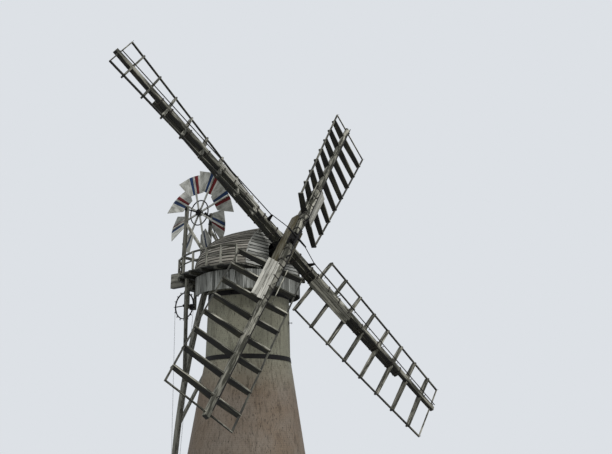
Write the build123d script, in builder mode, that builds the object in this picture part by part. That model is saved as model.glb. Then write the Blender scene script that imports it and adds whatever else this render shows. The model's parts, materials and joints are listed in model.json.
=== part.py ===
"""Traditional brick tower windmill with a boat-shaped cap, four patent sails and a fantail.

Millimetres, +Z up. The origin is on the ground at the centre of the tower. The sails face -Y
and the fantail stands on the +Y side. Near means the -X side and far means the +X side.
"""

import os
from math import asin, cos, degrees, hypot, radians, sin, sqrt, tan

from build123d import *

# Tower
BASE_RADIUS = 2785
NECK_RADIUS = 1765
TOP_RADIUS = 1690
NECK_HEIGHT = 6335
TOWER_HEIGHT = 9550
BASE_WALL = 560
NECK_WALL = 430
LOWER_SEGMENTS = 5
UPPER_SEGMENTS = 4
FLOOR_THICKNESS = 150
BAND_THICKNESS = 16
MIDDLE_BAND_HEIGHT = 190
TOP_BAND_DROP = 610
TOP_BAND_HEIGHT = 200
CURB_WIDTH = 320
CURB_HEIGHT = 90

# Doorway, in the +X side of the tower
DOOR_WIDTH = 900
DOOR_HEIGHT = 1950
DOOR_FRAME_FACE = 2330
DOOR_FRAME_SECTION = 90
DOOR_THICKNESS = 45
DOOR_CLEARANCE = 3
DOORSTEP_SETBACK = 20
LEDGE_HEIGHT = 130

# Cap frame
SLIDE_GAP = 0.3
CAP_RING_HEIGHT = 60
SHEER_SPACING = 1500
SHEER_WIDTH = 220
SHEER_DEPTH = 270
SHEER_FRONT = -1300
SHEER_REAR = 4080
JOIST_WIDTH = 110
JOIST_DEPTH = 130
JOIST_PLACES = (-1250, -450, 350, 1150, 1850, 2550)
DECK_THICKNESS = 40
SILL_WIDTH = 120
DECK_SIDE = 2580
DECK_REAR = 3550
DECK_FRONT = -1480
JOIST_SETBACK = 50
PETTICOAT_RADIUS = 2156
PETTICOAT_FRONT = 1980
PETTICOAT_REAR = 1450
PETTICOAT_BOARD = 30
PETTICOAT_DROP = 635
REAR_SKIRT_DROP = 150

# Cap roof
CAP_HALF_WIDTH = 2030
CAP_NOSE = 2190
CAP_TAIL = 2650
CAP_TAIL_BOARD = 2560
CAP_HEIGHT = 1760
CAP_BOARD = 60
GABLE_FACE = -1350
GABLE_BOARD = 40
GABLE_SLOT_HALF = 260
GABLE_SLOT_RISE = 1100
TAIL_ROUNDNESS = 2.4
ROOF_SECTIONS = 7

# Gallery rail
RAIL_HEIGHT = 780
RAIL_SECTION = 70
MID_RAIL_HEIGHT = 380
MID_RAIL_SECTION = 50
RAIL_POST = 80
RAIL_INSET = 60
RAIL_POST_PLACES = (-1320, -720, 0, 900, 1750, 2550)

# Windshaft and stocks
HUB_FORWARD = 2123
HUB_RISE = 945
SHAFT_TILT = 16.4
SAIL_TURN = 49
SHAFT_RADIUS = 150
NECK_JOURNAL_RADIUS = 175
NECK_JOURNAL_LENGTH = 240
NECK_BEARING_PLACE = 1020
TAIL_JOURNAL_RADIUS = 75
TAIL_JOURNAL_LENGTH = 180
TAIL_BEARING_PLACE = 2620
JOURNAL_GAP = 0.3
BEARING_THICKNESS = 35
BEARING_SETBACK = 40
SEAT_CUT = 700
NECK_BEAM_WIDTH = 300
NECK_BEAM_LENGTH = 2300
TAIL_BEAM_WIDTH = 150
STOCK_SIZE = 300
STOCK_END_WIDTH = 190
STOCK_END_DEPTH = 150
STOCK_PARALLEL = 2300
STOCK_REACH = 4200
STOCK_SPACING = 378
POLL_WALL = 50
POLL_REACH = 340
POLL_NOSE_RADIUS = 130
POLL_NOSE_LENGTH = 110
STRAP_PLACES = (760, 1560, 1960)
STRAP_WIDTH = 70
STRAP_THICKNESS = 12

# Sails
SAIL_LENGTH = 10314
WHIP_START = 420
WHIP_WIDTH = 240
WHIP_DEPTH = 220
WHIP_PARALLEL = 4400
WHIP_TIP_WIDTH = 120
WHIP_TIP_DEPTH = 110
FIRST_BAR = 2120
BAR_SPACING = 1042
BAR_COUNT = 8
END_RAIL = 10138
LEADING_WIDTH = 1011
TRAILING_WIDTH = 1727
HEEL_TWIST = 28.1
TIP_TWIST = 11.9
BAR_THICKNESS = 55
BAR_FRONT = 85
BAR_HEM_DEPTH = 170
BAR_ROOT_DEPTH = 260
HEM_WIDTH = 50
HEM_DEPTH = 65
HEEL_BOARD_START = 1880
HEEL_BOARD_END = 4280
HEEL_BOARD_INNER = 155
HEEL_BOARD_REACH = 620
HEEL_BOARD_THICKNESS = 28
INNER_LATH_REACH = 335
INNER_LATH_SECTION = 36
INNER_LATH_BARS = 3

# Striking gear on the sails
STRIKING_ROD_RADIUS = 22
SPIDER_CENTRE = 620
SPIDER_HUB_RADIUS = 60
SPIDER_HUB_LENGTH = 90
SPIDER_ARM = 560
SPIDER_BAR = 36
CRANK_PLACE = 1400
CRANK_FOOT = 180
CRANK_HEAD = 45
CRANK_THICKNESS = 24
LINK_SECTION = 26
SHUTTER_BAR_SECTION = 30
SHUTTER_BAR_HEEL = 320
SHUTTER_BAR_TIP = 190
STUB_SECTION = 20
STUB_LENGTH = 90
GUIDE_EVERY = 3

# Fan stage and fan
STAGE_BEAM_DEPTH = 360
STAGE_BEAM_WIDTH = 200
STAGE_BEAM_FRONT = 2700
STAGE_FLOOR = 40
POST_WIDTH = 130
POST_DEPTH = 150
POST_FOOT = 3410
POST_HEAD_RISE = 130
FAN_FORWARD = 3251
FAN_RISE = 3315
FAN_RADIUS = 1940
FAN_TURN = 30.5
FAN_BLADES = 8
BLADE_INNER_RADIUS = 980
BLADE_INNER_WIDTH = 680
BLADE_OUTER_WIDTH = 1500
BLADE_THICKNESS = 22
BLADE_PITCH = 24
SPOKE_WIDTH = 75
SPOKE_DEPTH = 55
SPOKE_REACH = 1840
FAN_RING_RADIUS = 580
FAN_RING_SECTION = 32
FAN_HUB_RADIUS = 130
FAN_HUB_LENGTH = 160
FAN_AXLE_RADIUS = 32
FAN_AXLE_OVERHANG = 60
FAN_SPRAG_TOP_RISE = 2650
FAN_SPRAG_FOOT_RISE = 730
FAN_SPRAG_SECTION = 110
FAN_SPRAG_SLOPE = 0.8
RAIL_ACROSS_RISE = 1080
BEVEL_PLACE = 500
BEVEL_RADIUS = 120
BEVEL_FACE = 45
BEVEL_GAP = 8
DRIVE_SLOPE = 30
DRIVE_RADIUS = 24
DRIVE_LENGTH = 2640
DRIVE_HOLE_GAP = 8
DRIVE_BEARING_DROP = 420
DRIVE_BEARING_LENGTH = 60
DRIVE_BEARING_RADIUS = 50
DRIVE_ARM_PLATE = 20

# Striking chain wheel below the tail
TAIL_CROSS_BEAM_Y = 2810
TAIL_CROSS_BEAM_WIDTH = 400
TAIL_CROSS_BEAM_DEPTH = 240
WHEEL_Y = 2940
WHEEL_DROP = 1200
WHEEL_X = -1000
WHEEL_RADIUS = 588
WHEEL_RIM_DEPTH = 40
WHEEL_RIM_WIDTH = 40
WHEEL_SPOKES = 4
WHEEL_SPOKE_WIDTH = 44
WHEEL_SPOKE_DEPTH = 18
WHEEL_HUB_RADIUS = 60
WHEEL_HUB_LENGTH = 120
FORK_COUNT = 16
FORK_REACH = 75
FORK_THICKNESS = 8
FORK_WIDTH = 26
WHEEL_AXLE_RADIUS = 22
HANGER_OUTER_X = -790
HANGER_INNER_X = -380
HANGER_WIDTH = 150
HANGER_THICKNESS = 60
HANGER_BELOW_AXLE = 110
PINION_RADIUS = 110
PINION_LENGTH = 80
CHAIN_RADIUS = 11
CHAIN_BOTTOM = 1150
CHAIN_FRONT_LEAN = 5.0
CHAIN_REAR_LEAN = 1.0
CHAIN_BOTTOM_RADIUS = 120

# Tail pole and its braces
POLE_WIDTH = 210
POLE_TOP_Y = 2730
POLE_MIDDLE_Y = 3860
POLE_MIDDLE_DROP = 3910
POLE_FOOT_Y = 4440
POLE_FOOT_HEIGHT = 1050
BRACE_SECTION = 130
BRACE_TOP_X = 1880
BRACE_TOP_Y = 1850
NEAR_BRACE_DROP = 4050
FAR_BRACE_DROP = 5850

# Levels that follow from the sizes above
CURB_TOP = TOWER_HEIGHT + CURB_HEIGHT
RING_TOP = CURB_TOP + SLIDE_GAP + CAP_RING_HEIGHT
SHEER_TOP = RING_TOP + SHEER_DEPTH
JOIST_TOP = RING_TOP + JOIST_DEPTH
DECK_TOP = JOIST_TOP + DECK_THICKNESS
TOP_BAND_TOP = TOWER_HEIGHT - TOP_BAND_DROP
PETTICOAT_BOTTOM = TOWER_HEIGHT - PETTICOAT_DROP
HUB_HEIGHT = SHEER_TOP + HUB_RISE
FAN_HEIGHT = SHEER_TOP + FAN_RISE
FAN_SPRAG_TOP = SHEER_TOP + FAN_SPRAG_TOP_RISE
FAN_SPRAG_FOOT = SHEER_TOP + FAN_SPRAG_FOOT_RISE
RAIL_ACROSS_LEVEL = SHEER_TOP + RAIL_ACROSS_RISE
WHEEL_HEIGHT = SHEER_TOP - WHEEL_DROP
SHEER_X = SHEER_SPACING / 2
SHEER_OUTSIDE = SHEER_X + SHEER_WIDTH / 2
SHEER_INSIDE = SHEER_X - SHEER_WIDTH / 2
STAGE_TOP = SHEER_TOP + STAGE_BEAM_DEPTH
UPPER_INNER_RADIUS = NECK_RADIUS - NECK_WALL
SIDES = (-1, 1)

os.makedirs("parts", exist_ok=True)


def save(piece, name):
    """Label the finished part and write it under its node's name."""
    piece.part.label = name
    export_step(piece.part, "parts/" + name + ".step")


def add_timber(start, end, side, width, depth):
    """Straight timber between two points; its width lies along the side direction."""
    run = Vector(*end) - Vector(*start)
    with BuildSketch(Plane(origin=start, x_dir=side, z_dir=run)) as profile:
        Rectangle(width, depth)
    extrude(profile.sketch, amount=run.length)


def add_block(x_range, y_range, z_range, mode=Mode.ADD):
    """Square block between two limits on each axis."""
    centre = [sum(limits) / 2 for limits in (x_range, y_range, z_range)]
    size = [abs(limits[1] - limits[0]) for limits in (x_range, y_range, z_range)]
    with Locations(tuple(centre)):
        Box(*size, mode=mode)


def turn_plane(plane, angle):
    """The same plane turned about its own Z."""
    x_dir = plane.x_dir.rotate(Axis((0, 0, 0), plane.z_dir), angle)
    return Plane(plane.origin, x_dir, plane.z_dir)


def outer_radius(height):
    """Outside radius of the tower at a height."""
    if height <= NECK_HEIGHT:
        return BASE_RADIUS + (NECK_RADIUS - BASE_RADIUS) * height / NECK_HEIGHT
    share = (height - NECK_HEIGHT) / (TOWER_HEIGHT - NECK_HEIGHT)
    return NECK_RADIUS + (TOP_RADIUS - NECK_RADIUS) * share


# Brick tower: a battered lower part and a nearly upright upper part, both in segments


def wall_segment(name, profile_points, start_angle, sweep_angle):
    """One segment of the round wall; the lower ones leave the doorway open."""
    with BuildPart() as wall:
        start = radians(start_angle)
        with BuildSketch(Plane((0, 0, 0), (cos(start), sin(start), 0), (sin(start), -cos(start), 0))):
            with BuildLine():
                Polyline(*profile_points, close=True)
            make_face()
        revolve(axis=Axis.Z, revolution_arc=sweep_angle)
        if profile_points is LOWER_PROFILE:
            door_strip = (-DOOR_WIDTH / 2, DOOR_WIDTH / 2)
            add_block((0, 2 * BASE_RADIUS), door_strip, (0, NECK_HEIGHT), Mode.SUBTRACT)
    save(wall, name)


LOWER_PROFILE = (
    (BASE_RADIUS - BASE_WALL, 0),
    (BASE_RADIUS, 0),
    (NECK_RADIUS, NECK_HEIGHT),
    (UPPER_INNER_RADIUS, NECK_HEIGHT),
)
UPPER_PROFILE = (
    (UPPER_INNER_RADIUS, NECK_HEIGHT),
    (NECK_RADIUS, NECK_HEIGHT),
    (TOP_RADIUS, TOWER_HEIGHT),
    (UPPER_INNER_RADIUS, TOWER_HEIGHT),
)
for number in range(LOWER_SEGMENTS):
    share = 360 / LOWER_SEGMENTS
    wall_segment(f"lower_wall_{number + 1}", LOWER_PROFILE, number * share, share)
for number in range(UPPER_SEGMENTS):
    share = 360 / UPPER_SEGMENTS
    wall_segment(f"upper_wall_{number + 1}", UPPER_PROFILE, number * share, share)

with BuildPart() as wall_over_door:
    with BuildSketch(Plane.XZ):
        with BuildLine():
            Polyline(*LOWER_PROFILE, close=True)
        make_face()
    revolve(axis=Axis.Z)
    door_strip = (-DOOR_WIDTH / 2, DOOR_WIDTH / 2)
    with Locations((BASE_RADIUS, 0, (DOOR_HEIGHT + NECK_HEIGHT) / 2)):
        Box(2 * BASE_RADIUS, DOOR_WIDTH, NECK_HEIGHT - DOOR_HEIGHT, mode=Mode.INTERSECT)
save(wall_over_door, "wall_over_door")

with BuildPart() as ground_floor:
    with Locations((0, 0, FLOOR_THICKNESS / 2)):
        Cylinder(BASE_RADIUS - BASE_WALL, FLOOR_THICKNESS)
    with BuildSketch(Plane.XZ):
        with BuildLine():
            Polyline(*LOWER_PROFILE, close=True)
        make_face()
    revolve(axis=Axis.Z, mode=Mode.SUBTRACT)
    add_block((0, BASE_RADIUS), door_strip, (0, FLOOR_THICKNESS))
    with Locations((0, 0, FLOOR_THICKNESS / 2)):
        Cylinder(BASE_RADIUS - DOORSTEP_SETBACK, FLOOR_THICKNESS, mode=Mode.INTERSECT)
save(ground_floor, "ground_floor")

with BuildPart() as iron_bands:
    for top, height in ((NECK_HEIGHT, MIDDLE_BAND_HEIGHT), (TOP_BAND_TOP, TOP_BAND_HEIGHT)):
        low = outer_radius(top - height)
        high = outer_radius(top)
        with BuildSketch(Plane.XZ):
            with BuildLine():
                Polyline(
                    (low, top - height),
                    (low + BAND_THICKNESS, top - height),
                    (high + BAND_THICKNESS, top),
                    (high, top),
                    close=True,
                )
            make_face()
        revolve(axis=Axis.Z)
save(iron_bands, "iron_bands")

with BuildPart() as curb:
    with BuildSketch(Plane.XY.offset(TOWER_HEIGHT)):
        Circle(UPPER_INNER_RADIUS + CURB_WIDTH)
        Circle(UPPER_INNER_RADIUS, mode=Mode.SUBTRACT)
    extrude(amount=CURB_HEIGHT)
save(curb, "curb")

# Doorway with its plank door, shut

FRAME_BACK = DOOR_FRAME_FACE - DOOR_FRAME_SECTION
LEAF_HALF = DOOR_WIDTH / 2 - DOOR_FRAME_SECTION - DOOR_CLEARANCE
LEAF_TOP = DOOR_HEIGHT - DOOR_FRAME_SECTION - DOOR_CLEARANCE

with BuildPart() as door_frame:
    add_block((FRAME_BACK, DOOR_FRAME_FACE), door_strip, (FLOOR_THICKNESS, DOOR_HEIGHT))
    add_block(
        (FRAME_BACK, DOOR_FRAME_FACE),
        (-DOOR_WIDTH / 2 + DOOR_FRAME_SECTION, DOOR_WIDTH / 2 - DOOR_FRAME_SECTION),
        (FLOOR_THICKNESS, DOOR_HEIGHT - DOOR_FRAME_SECTION),
        Mode.SUBTRACT,
    )
save(door_frame, "door_frame")

with BuildPart() as door:
    leaf_back = DOOR_FRAME_FACE - DOOR_THICKNESS
    add_block((leaf_back, DOOR_FRAME_FACE), (-LEAF_HALF, LEAF_HALF), (FLOOR_THICKNESS, LEAF_TOP))
    for share in (0.15, 0.5, 0.85):
        ledge = FLOOR_THICKNESS + share * (LEAF_TOP - FLOOR_THICKNESS)
        add_block(
            (leaf_back - DOOR_THICKNESS / 2, leaf_back),
            (-LEAF_HALF + DOOR_CLEARANCE, LEAF_HALF - DOOR_CLEARANCE),
            (ledge - LEDGE_HEIGHT / 2, ledge + LEDGE_HEIGHT / 2),
        )
save(door, "door")

# Cap frame: a ring that slides on the curb, two sheers and joists for the deck

with BuildPart() as cap_ring:
    with BuildSketch(Plane.XY.offset(CURB_TOP + SLIDE_GAP)):
        Circle(UPPER_INNER_RADIUS + CURB_WIDTH)
        Circle(UPPER_INNER_RADIUS, mode=Mode.SUBTRACT)
    extrude(amount=CAP_RING_HEIGHT)
save(cap_ring, "cap_ring")

with BuildPart() as sheers:
    for side in SIDES:
        inner, outer = side * SHEER_INSIDE, side * SHEER_OUTSIDE
        add_block((inner, outer), (SHEER_FRONT, SHEER_REAR), (RING_TOP, SHEER_TOP))
save(sheers, "sheers")


def deck_reach(place):
    """Half width of the gallery deck at a distance along Y."""
    if place < 0:
        return sqrt(DECK_SIDE**2 - place**2)
    return DECK_SIDE * sqrt(1 - (place / DECK_REAR) ** 2)


with BuildPart() as gallery_joists:
    for place in JOIST_PLACES:
        half = JOIST_WIDTH / 2
        reach = deck_reach(abs(place) + half if place > 0 else place - half) - JOIST_SETBACK
        for side in SIDES:
            across = (side * SHEER_OUTSIDE, side * reach)
            add_block(across, (place - half, place + half), (RING_TOP, JOIST_TOP))
save(gallery_joists, "gallery_joists")


def boat_outline(side, rear, nose, front, mode=Mode.ADD):
    """Plan of the cap: round at the front and cut off square there, longer towards the tail."""
    front_angle = degrees(asin(-front / nose))
    with BuildLine() as outline:
        EllipticalCenterArc((0, 0), side, rear, arc_size=180)
        near_front = EllipticalCenterArc((0, 0), side, nose, start_angle=180, arc_size=front_angle)
        far_front = EllipticalCenterArc((0, 0), side, nose, start_angle=-front_angle, arc_size=front_angle)
        Line(near_front @ 1, far_front @ 0)
    make_face(outline.edges(), mode=mode)


with BuildPart() as gallery_deck:
    with BuildSketch(Plane.XY.offset(JOIST_TOP)):
        boat_outline(DECK_SIDE, DECK_REAR, DECK_SIDE, DECK_FRONT)
        with Locations((0, (SHEER_REAR + SHEER_FRONT) / 2)):
            Rectangle(2 * SHEER_OUTSIDE, 2 * SHEER_REAR, mode=Mode.SUBTRACT)
    extrude(amount=DECK_THICKNESS)
save(gallery_deck, "gallery_deck")



def skirt_ring(bottom, top):
    """Round skirt between two levels, cut flat in front of the tower to let the stocks pass."""
    with BuildPart() as ring:
        with BuildSketch(Plane.XY.offset(bottom)):
            for radius, front, mode in (
                (PETTICOAT_RADIUS, PETTICOAT_FRONT, Mode.ADD),
                (PETTICOAT_RADIUS - PETTICOAT_BOARD, PETTICOAT_FRONT - PETTICOAT_BOARD, Mode.SUBTRACT),
            ):
                flat_angle = degrees(asin(front / radius))
                with BuildLine() as outline:
                    rim = CenterArc((0, 0), radius, -flat_angle, 180 + 2 * flat_angle)
                    Line(rim @ 0, rim @ 1)
                make_face(outline.edges(), mode=mode)
        extrude(amount=top - bottom)
    return ring.part


for label, side in (("near_petticoat", -1), ("far_petticoat", 1)):
    with BuildPart() as petticoat:
        add(skirt_ring(PETTICOAT_BOTTOM, RING_TOP))
        rear = (PETTICOAT_REAR, 2 * PETTICOAT_RADIUS)
        across = (-PETTICOAT_RADIUS, PETTICOAT_RADIUS)
        add_block(across, rear, (PETTICOAT_BOTTOM, TOWER_HEIGHT - REAR_SKIRT_DROP), Mode.SUBTRACT)
        add_block((-2 * side * PETTICOAT_RADIUS, 0), (-rear[1], rear[1]), (0, SHEER_TOP), Mode.SUBTRACT)
    save(petticoat, label)

# Boat-shaped cap


def cap_half_width(place):
    """Half width of the cap's foot at a distance along Y."""
    length = CAP_NOSE if place < 0 else CAP_TAIL
    return CAP_HALF_WIDTH * sqrt(1 - (place / length) ** 2)


def cap_rise(place):
    """Height of the ridge above the sheers at a distance along Y."""
    if place < 0:
        return CAP_HEIGHT
    return CAP_HEIGHT * (1 - (place / CAP_TAIL) ** TAIL_ROUNDNESS) ** (1 / TAIL_ROUNDNESS)


def roof_places():
    """Stations along the cap, closer together towards the rounded tail."""
    quarter = asin(CAP_TAIL_BOARD / CAP_TAIL)
    rear = [CAP_TAIL * sin(quarter * step / (ROOF_SECTIONS - 2)) for step in range(1, ROOF_SECTIONS - 1)]
    return [GABLE_FACE + GABLE_BOARD, GABLE_FACE / 2, 0] + rear


def roof_profile(place, shrink, side):
    """Quarter of the cap's arch, on one side of the ridge."""
    wide = cap_half_width(place) - shrink
    high = cap_rise(place) - shrink
    plane = Plane(origin=(0, place, SHEER_TOP), x_dir=(side, 0, 0), z_dir=(0, -side, 0))
    with BuildSketch(plane) as profile:
        with BuildLine():
            arch = EllipticalCenterArc((0, 0), wide, high, arc_size=90)
            Line((0, 0), arch @ 0)
            Line((0, 0), arch @ 1)
        make_face()
    return profile.sketch


def roof_body(side, shrink):
    """Solid half of the cap, smaller all round by the shrink."""
    with BuildPart() as body:
        loft([roof_profile(place, shrink, side).face() for place in roof_places()])
    return body.part


near_roof_outside = roof_body(-1, 0)
far_roof_outside = roof_body(1, 0)


def drive_plane():
    """Plane at the crossing of fan axle and drive shaft, its Z down the shaft."""
    slope = radians(DRIVE_SLOPE)
    return Plane(
        origin=(BEVEL_PLACE, FAN_FORWARD, FAN_HEIGHT),
        x_dir=(1, 0, 0),
        z_dir=(0, -sin(slope), -cos(slope)),
    )


ROOF_HALVES = (("near_roof", -1, near_roof_outside), ("far_roof", 1, far_roof_outside))

for label, side, outside in ROOF_HALVES:
    with BuildPart() as roof:
        add(outside)
        add(roof_body(side, CAP_BOARD), mode=Mode.SUBTRACT)
        if side > 0:
            with BuildSketch(drive_plane()) as hole:
                Circle(DRIVE_RADIUS + DRIVE_HOLE_GAP)
            extrude(hole.sketch, amount=DRIVE_LENGTH + CAP_BOARD, mode=Mode.SUBTRACT)
    save(roof, label)


def end_board(face, shrink):
    """Board across the arch of the cap, from a face backwards towards -Y."""
    wide = cap_half_width(face) - shrink
    high = cap_rise(face) - shrink
    with BuildSketch(Plane(origin=(0, face, SHEER_TOP), x_dir=(1, 0, 0), z_dir=(0, -1, 0))) as board:
        with BuildLine():
            arch = EllipticalCenterArc((0, 0), wide, high, arc_size=180)
            Line(arch @ 0, arch @ 1)
        make_face()
    return extrude(board.sketch, amount=GABLE_BOARD)


# Windshaft: everything on it is placed from the hub plane, whose Z points forward along the shaft

TILT = radians(SHAFT_TILT)
HUB_PLANE = Plane(
    origin=(0, -HUB_FORWARD, HUB_HEIGHT),
    x_dir=(1, 0, 0),
    z_dir=(0, -cos(TILT), sin(TILT)),
)
STOCK_BEHIND = (WHIP_DEPTH + STOCK_SIZE) / 2


def shaft_point(distance):
    """Point on the windshaft's axis, counted backwards from the hub."""
    return HUB_PLANE.from_local_coords(Vector(0, 0, -distance))


with BuildPart() as front_gable:
    add(end_board(GABLE_FACE + GABLE_BOARD, 0))
    slot_centre = SHEER_TOP + GABLE_SLOT_RISE - GABLE_SLOT_HALF
    add_block(
        (-GABLE_SLOT_HALF, GABLE_SLOT_HALF),
        (GABLE_FACE, GABLE_FACE + GABLE_BOARD),
        (SHEER_TOP, slot_centre),
        Mode.SUBTRACT,
    )
    with BuildSketch(Plane.XZ):
        with Locations((0, slot_centre)):
            Circle(GABLE_SLOT_HALF)
    extrude(amount=CAP_NOSE, mode=Mode.SUBTRACT)
save(front_gable, "front_gable")

with BuildPart() as tail_board:
    add(end_board(CAP_TAIL_BOARD, CAP_BOARD + GABLE_BOARD))
    tail_board_range = (CAP_TAIL_BOARD - GABLE_BOARD, CAP_TAIL_BOARD)
    add_block((-SHEER_INSIDE, SHEER_INSIDE), tail_board_range, (RING_TOP, SHEER_TOP))
save(tail_board, "tail_board")

with BuildPart() as cap_sill:
    with BuildSketch(Plane.XY.offset(DECK_TOP)):
        boat_outline(CAP_HALF_WIDTH, CAP_TAIL, CAP_NOSE, GABLE_FACE)
        inside = [size - SILL_WIDTH for size in (CAP_HALF_WIDTH, CAP_TAIL, CAP_NOSE)]
        boat_outline(*inside, GABLE_FACE + SILL_WIDTH, Mode.SUBTRACT)
        with Locations((0, (SHEER_REAR + SHEER_FRONT) / 2)):
            Rectangle(2 * SHEER_OUTSIDE, 2 * SHEER_REAR, mode=Mode.SUBTRACT)
    extrude(amount=SHEER_TOP - DECK_TOP)
save(cap_sill, "cap_sill")

# Beams that carry the windshaft, and its bearings

NECK_POINT = shaft_point(NECK_BEARING_PLACE)
TAIL_POINT = shaft_point(TAIL_BEARING_PLACE)
POST_TOP = FAN_HEIGHT + POST_HEAD_RISE
POST_LEAN = (FAN_FORWARD - POST_FOOT) / (FAN_HEIGHT - STAGE_TOP)


def post_y(height):
    """Centre of the leaning fan posts at a height."""
    return POST_FOOT + POST_LEAN * (height - STAGE_TOP)


def half_bearing(place, length, journal):
    """Lower half shell round a journal."""
    plane = HUB_PLANE.offset(-place - length / 2)
    with BuildSketch(plane) as shell:
        Circle(journal + JOURNAL_GAP + BEARING_THICKNESS)
        Circle(journal + JOURNAL_GAP, mode=Mode.SUBTRACT)
        with Locations((0, journal)):
            Rectangle(4 * journal, 2 * journal, mode=Mode.SUBTRACT)
    return extrude(shell.sketch, amount=length)


def bearing_seat(place, journal):
    """Round trough that takes the bearing shell."""
    with BuildSketch(HUB_PLANE.offset(-place)) as seat:
        Circle(journal + JOURNAL_GAP + BEARING_THICKNESS)
    return extrude(seat.sketch, amount=SEAT_CUT, both=True)


DRIVE_PLANE = drive_plane()

with BuildPart() as bearings:
    add(half_bearing(NECK_BEARING_PLACE, NECK_JOURNAL_LENGTH - BEARING_SETBACK, NECK_JOURNAL_RADIUS))
    add(half_bearing(TAIL_BEARING_PLACE, TAIL_JOURNAL_LENGTH - BEARING_SETBACK, TAIL_JOURNAL_RADIUS))
    post_side = SHEER_X - POST_WIDTH / 2
    arm = post_side - BEVEL_PLACE
    with BuildSketch(DRIVE_PLANE.offset(DRIVE_BEARING_DROP)) as ring:
        Circle(DRIVE_BEARING_RADIUS)
        with Locations((arm / 2, 0)):
            Rectangle(arm, DRIVE_BEARING_RADIUS)
        Circle(DRIVE_RADIUS + JOURNAL_GAP, mode=Mode.SUBTRACT)
    extrude(ring.sketch, amount=DRIVE_BEARING_LENGTH)
    ring_middle = DRIVE_BEARING_DROP + DRIVE_BEARING_LENGTH / 2
    ring_centre = DRIVE_PLANE.from_local_coords(Vector(0, 0, ring_middle))
    add_block(
        (post_side - DRIVE_ARM_PLATE, post_side),
        (ring_centre.Y - DRIVE_BEARING_LENGTH / 2, post_y(ring_centre.Z) + POST_DEPTH / 2),
        (ring_centre.Z - DRIVE_BEARING_LENGTH / 2, ring_centre.Z + DRIVE_BEARING_LENGTH / 2),
    )
save(bearings, "bearings")

with BuildPart() as windshaft_beams:
    add_block(
        (-NECK_BEAM_LENGTH / 2, NECK_BEAM_LENGTH / 2),
        (NECK_POINT.Y - NECK_BEAM_WIDTH / 2, NECK_POINT.Y + NECK_BEAM_WIDTH / 2),
        (SHEER_TOP, NECK_POINT.Z),
    )
    add_block(
        (-SHEER_INSIDE, SHEER_INSIDE),
        (TAIL_POINT.Y - TAIL_BEAM_WIDTH / 2, TAIL_POINT.Y + TAIL_BEAM_WIDTH / 2),
        (RING_TOP, TAIL_POINT.Z),
    )
    add(bearing_seat(NECK_BEARING_PLACE, NECK_JOURNAL_RADIUS), mode=Mode.SUBTRACT)
    add(bearing_seat(TAIL_BEARING_PLACE, TAIL_JOURNAL_RADIUS), mode=Mode.SUBTRACT)
save(windshaft_beams, "windshaft_beams")

# Fan stage on the rear of the sheers

with BuildPart() as fan_stage:
    stage_half = SHEER_X - STAGE_BEAM_WIDTH / 2
    for side in SIDES:
        beam = (side * stage_half, side * (stage_half + STAGE_BEAM_WIDTH))
        add_block(beam, (STAGE_BEAM_FRONT, SHEER_REAR), (SHEER_TOP, STAGE_TOP))
    add_block((-stage_half, stage_half), (STAGE_BEAM_FRONT, SHEER_REAR), (STAGE_TOP - STAGE_FLOOR, STAGE_TOP))
save(fan_stage, "fan_stage")

with BuildPart() as fan_posts:
    for side in SIDES:
        with BuildSketch(Plane.YZ.offset(side * SHEER_X)):
            with BuildLine():
                Polyline(
                    (POST_FOOT - POST_DEPTH / 2, STAGE_TOP),
                    (POST_FOOT + POST_DEPTH / 2, STAGE_TOP),
                    (post_y(POST_TOP) + POST_DEPTH / 2, POST_TOP),
                    (post_y(POST_TOP) - POST_DEPTH / 2, POST_TOP),
                    close=True,
                )
            make_face()
        extrude(amount=POST_WIDTH / 2, both=True)
    half_section = FAN_SPRAG_SECTION / 2
    add_block(
        (-SHEER_X, SHEER_X),
        (post_y(RAIL_ACROSS_LEVEL) - half_section, post_y(RAIL_ACROSS_LEVEL) + half_section),
        (RAIL_ACROSS_LEVEL - half_section, RAIL_ACROSS_LEVEL + half_section),
    )
    with BuildSketch(Plane.YZ):
        with Locations((FAN_FORWARD, FAN_HEIGHT)):
            Circle(FAN_AXLE_RADIUS + JOURNAL_GAP)
    extrude(amount=SHEER_SPACING, both=True, mode=Mode.SUBTRACT)
save(fan_posts, "fan_posts")

with BuildPart() as fan_post_braces:
    for side in SIDES:
        top_y = post_y(FAN_SPRAG_TOP) - POST_DEPTH / 2
        foot_y = top_y - FAN_SPRAG_SLOPE * (FAN_SPRAG_TOP - FAN_SPRAG_FOOT)
        rise = FAN_SPRAG_SECTION * hypot(1, 1 / FAN_SPRAG_SLOPE)
        lean = POST_LEAN * rise
        with BuildSketch(Plane.YZ.offset(side * SHEER_X)):
            with BuildLine():
                Polyline(
                    (top_y, FAN_SPRAG_TOP),
                    (top_y - lean, FAN_SPRAG_TOP - rise),
                    (foot_y, FAN_SPRAG_FOOT - rise),
                    (foot_y, FAN_SPRAG_FOOT),
                    close=True,
                )
            make_face()
        extrude(amount=FAN_SPRAG_SECTION / 2, both=True)
    add(near_roof_outside, mode=Mode.SUBTRACT)
    add(far_roof_outside, mode=Mode.SUBTRACT)
save(fan_post_braces, "fan_post_braces")

# Gallery rail round both sides of the cap, back to the fan posts


def rail_reach(place):
    """Half width of the rail's centre line at a distance along Y."""
    side = DECK_SIDE - RAIL_INSET
    rear = DECK_REAR - RAIL_INSET
    if place < 0:
        return sqrt(side**2 - place**2)
    return side * sqrt(1 - (place / rear) ** 2)


RAIL_TOP = DECK_TOP + RAIL_HEIGHT
RAILS = (
    (RAIL_TOP - RAIL_SECTION / 2, RAIL_SECTION),
    (DECK_TOP + MID_RAIL_HEIGHT, MID_RAIL_SECTION),
)

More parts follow.
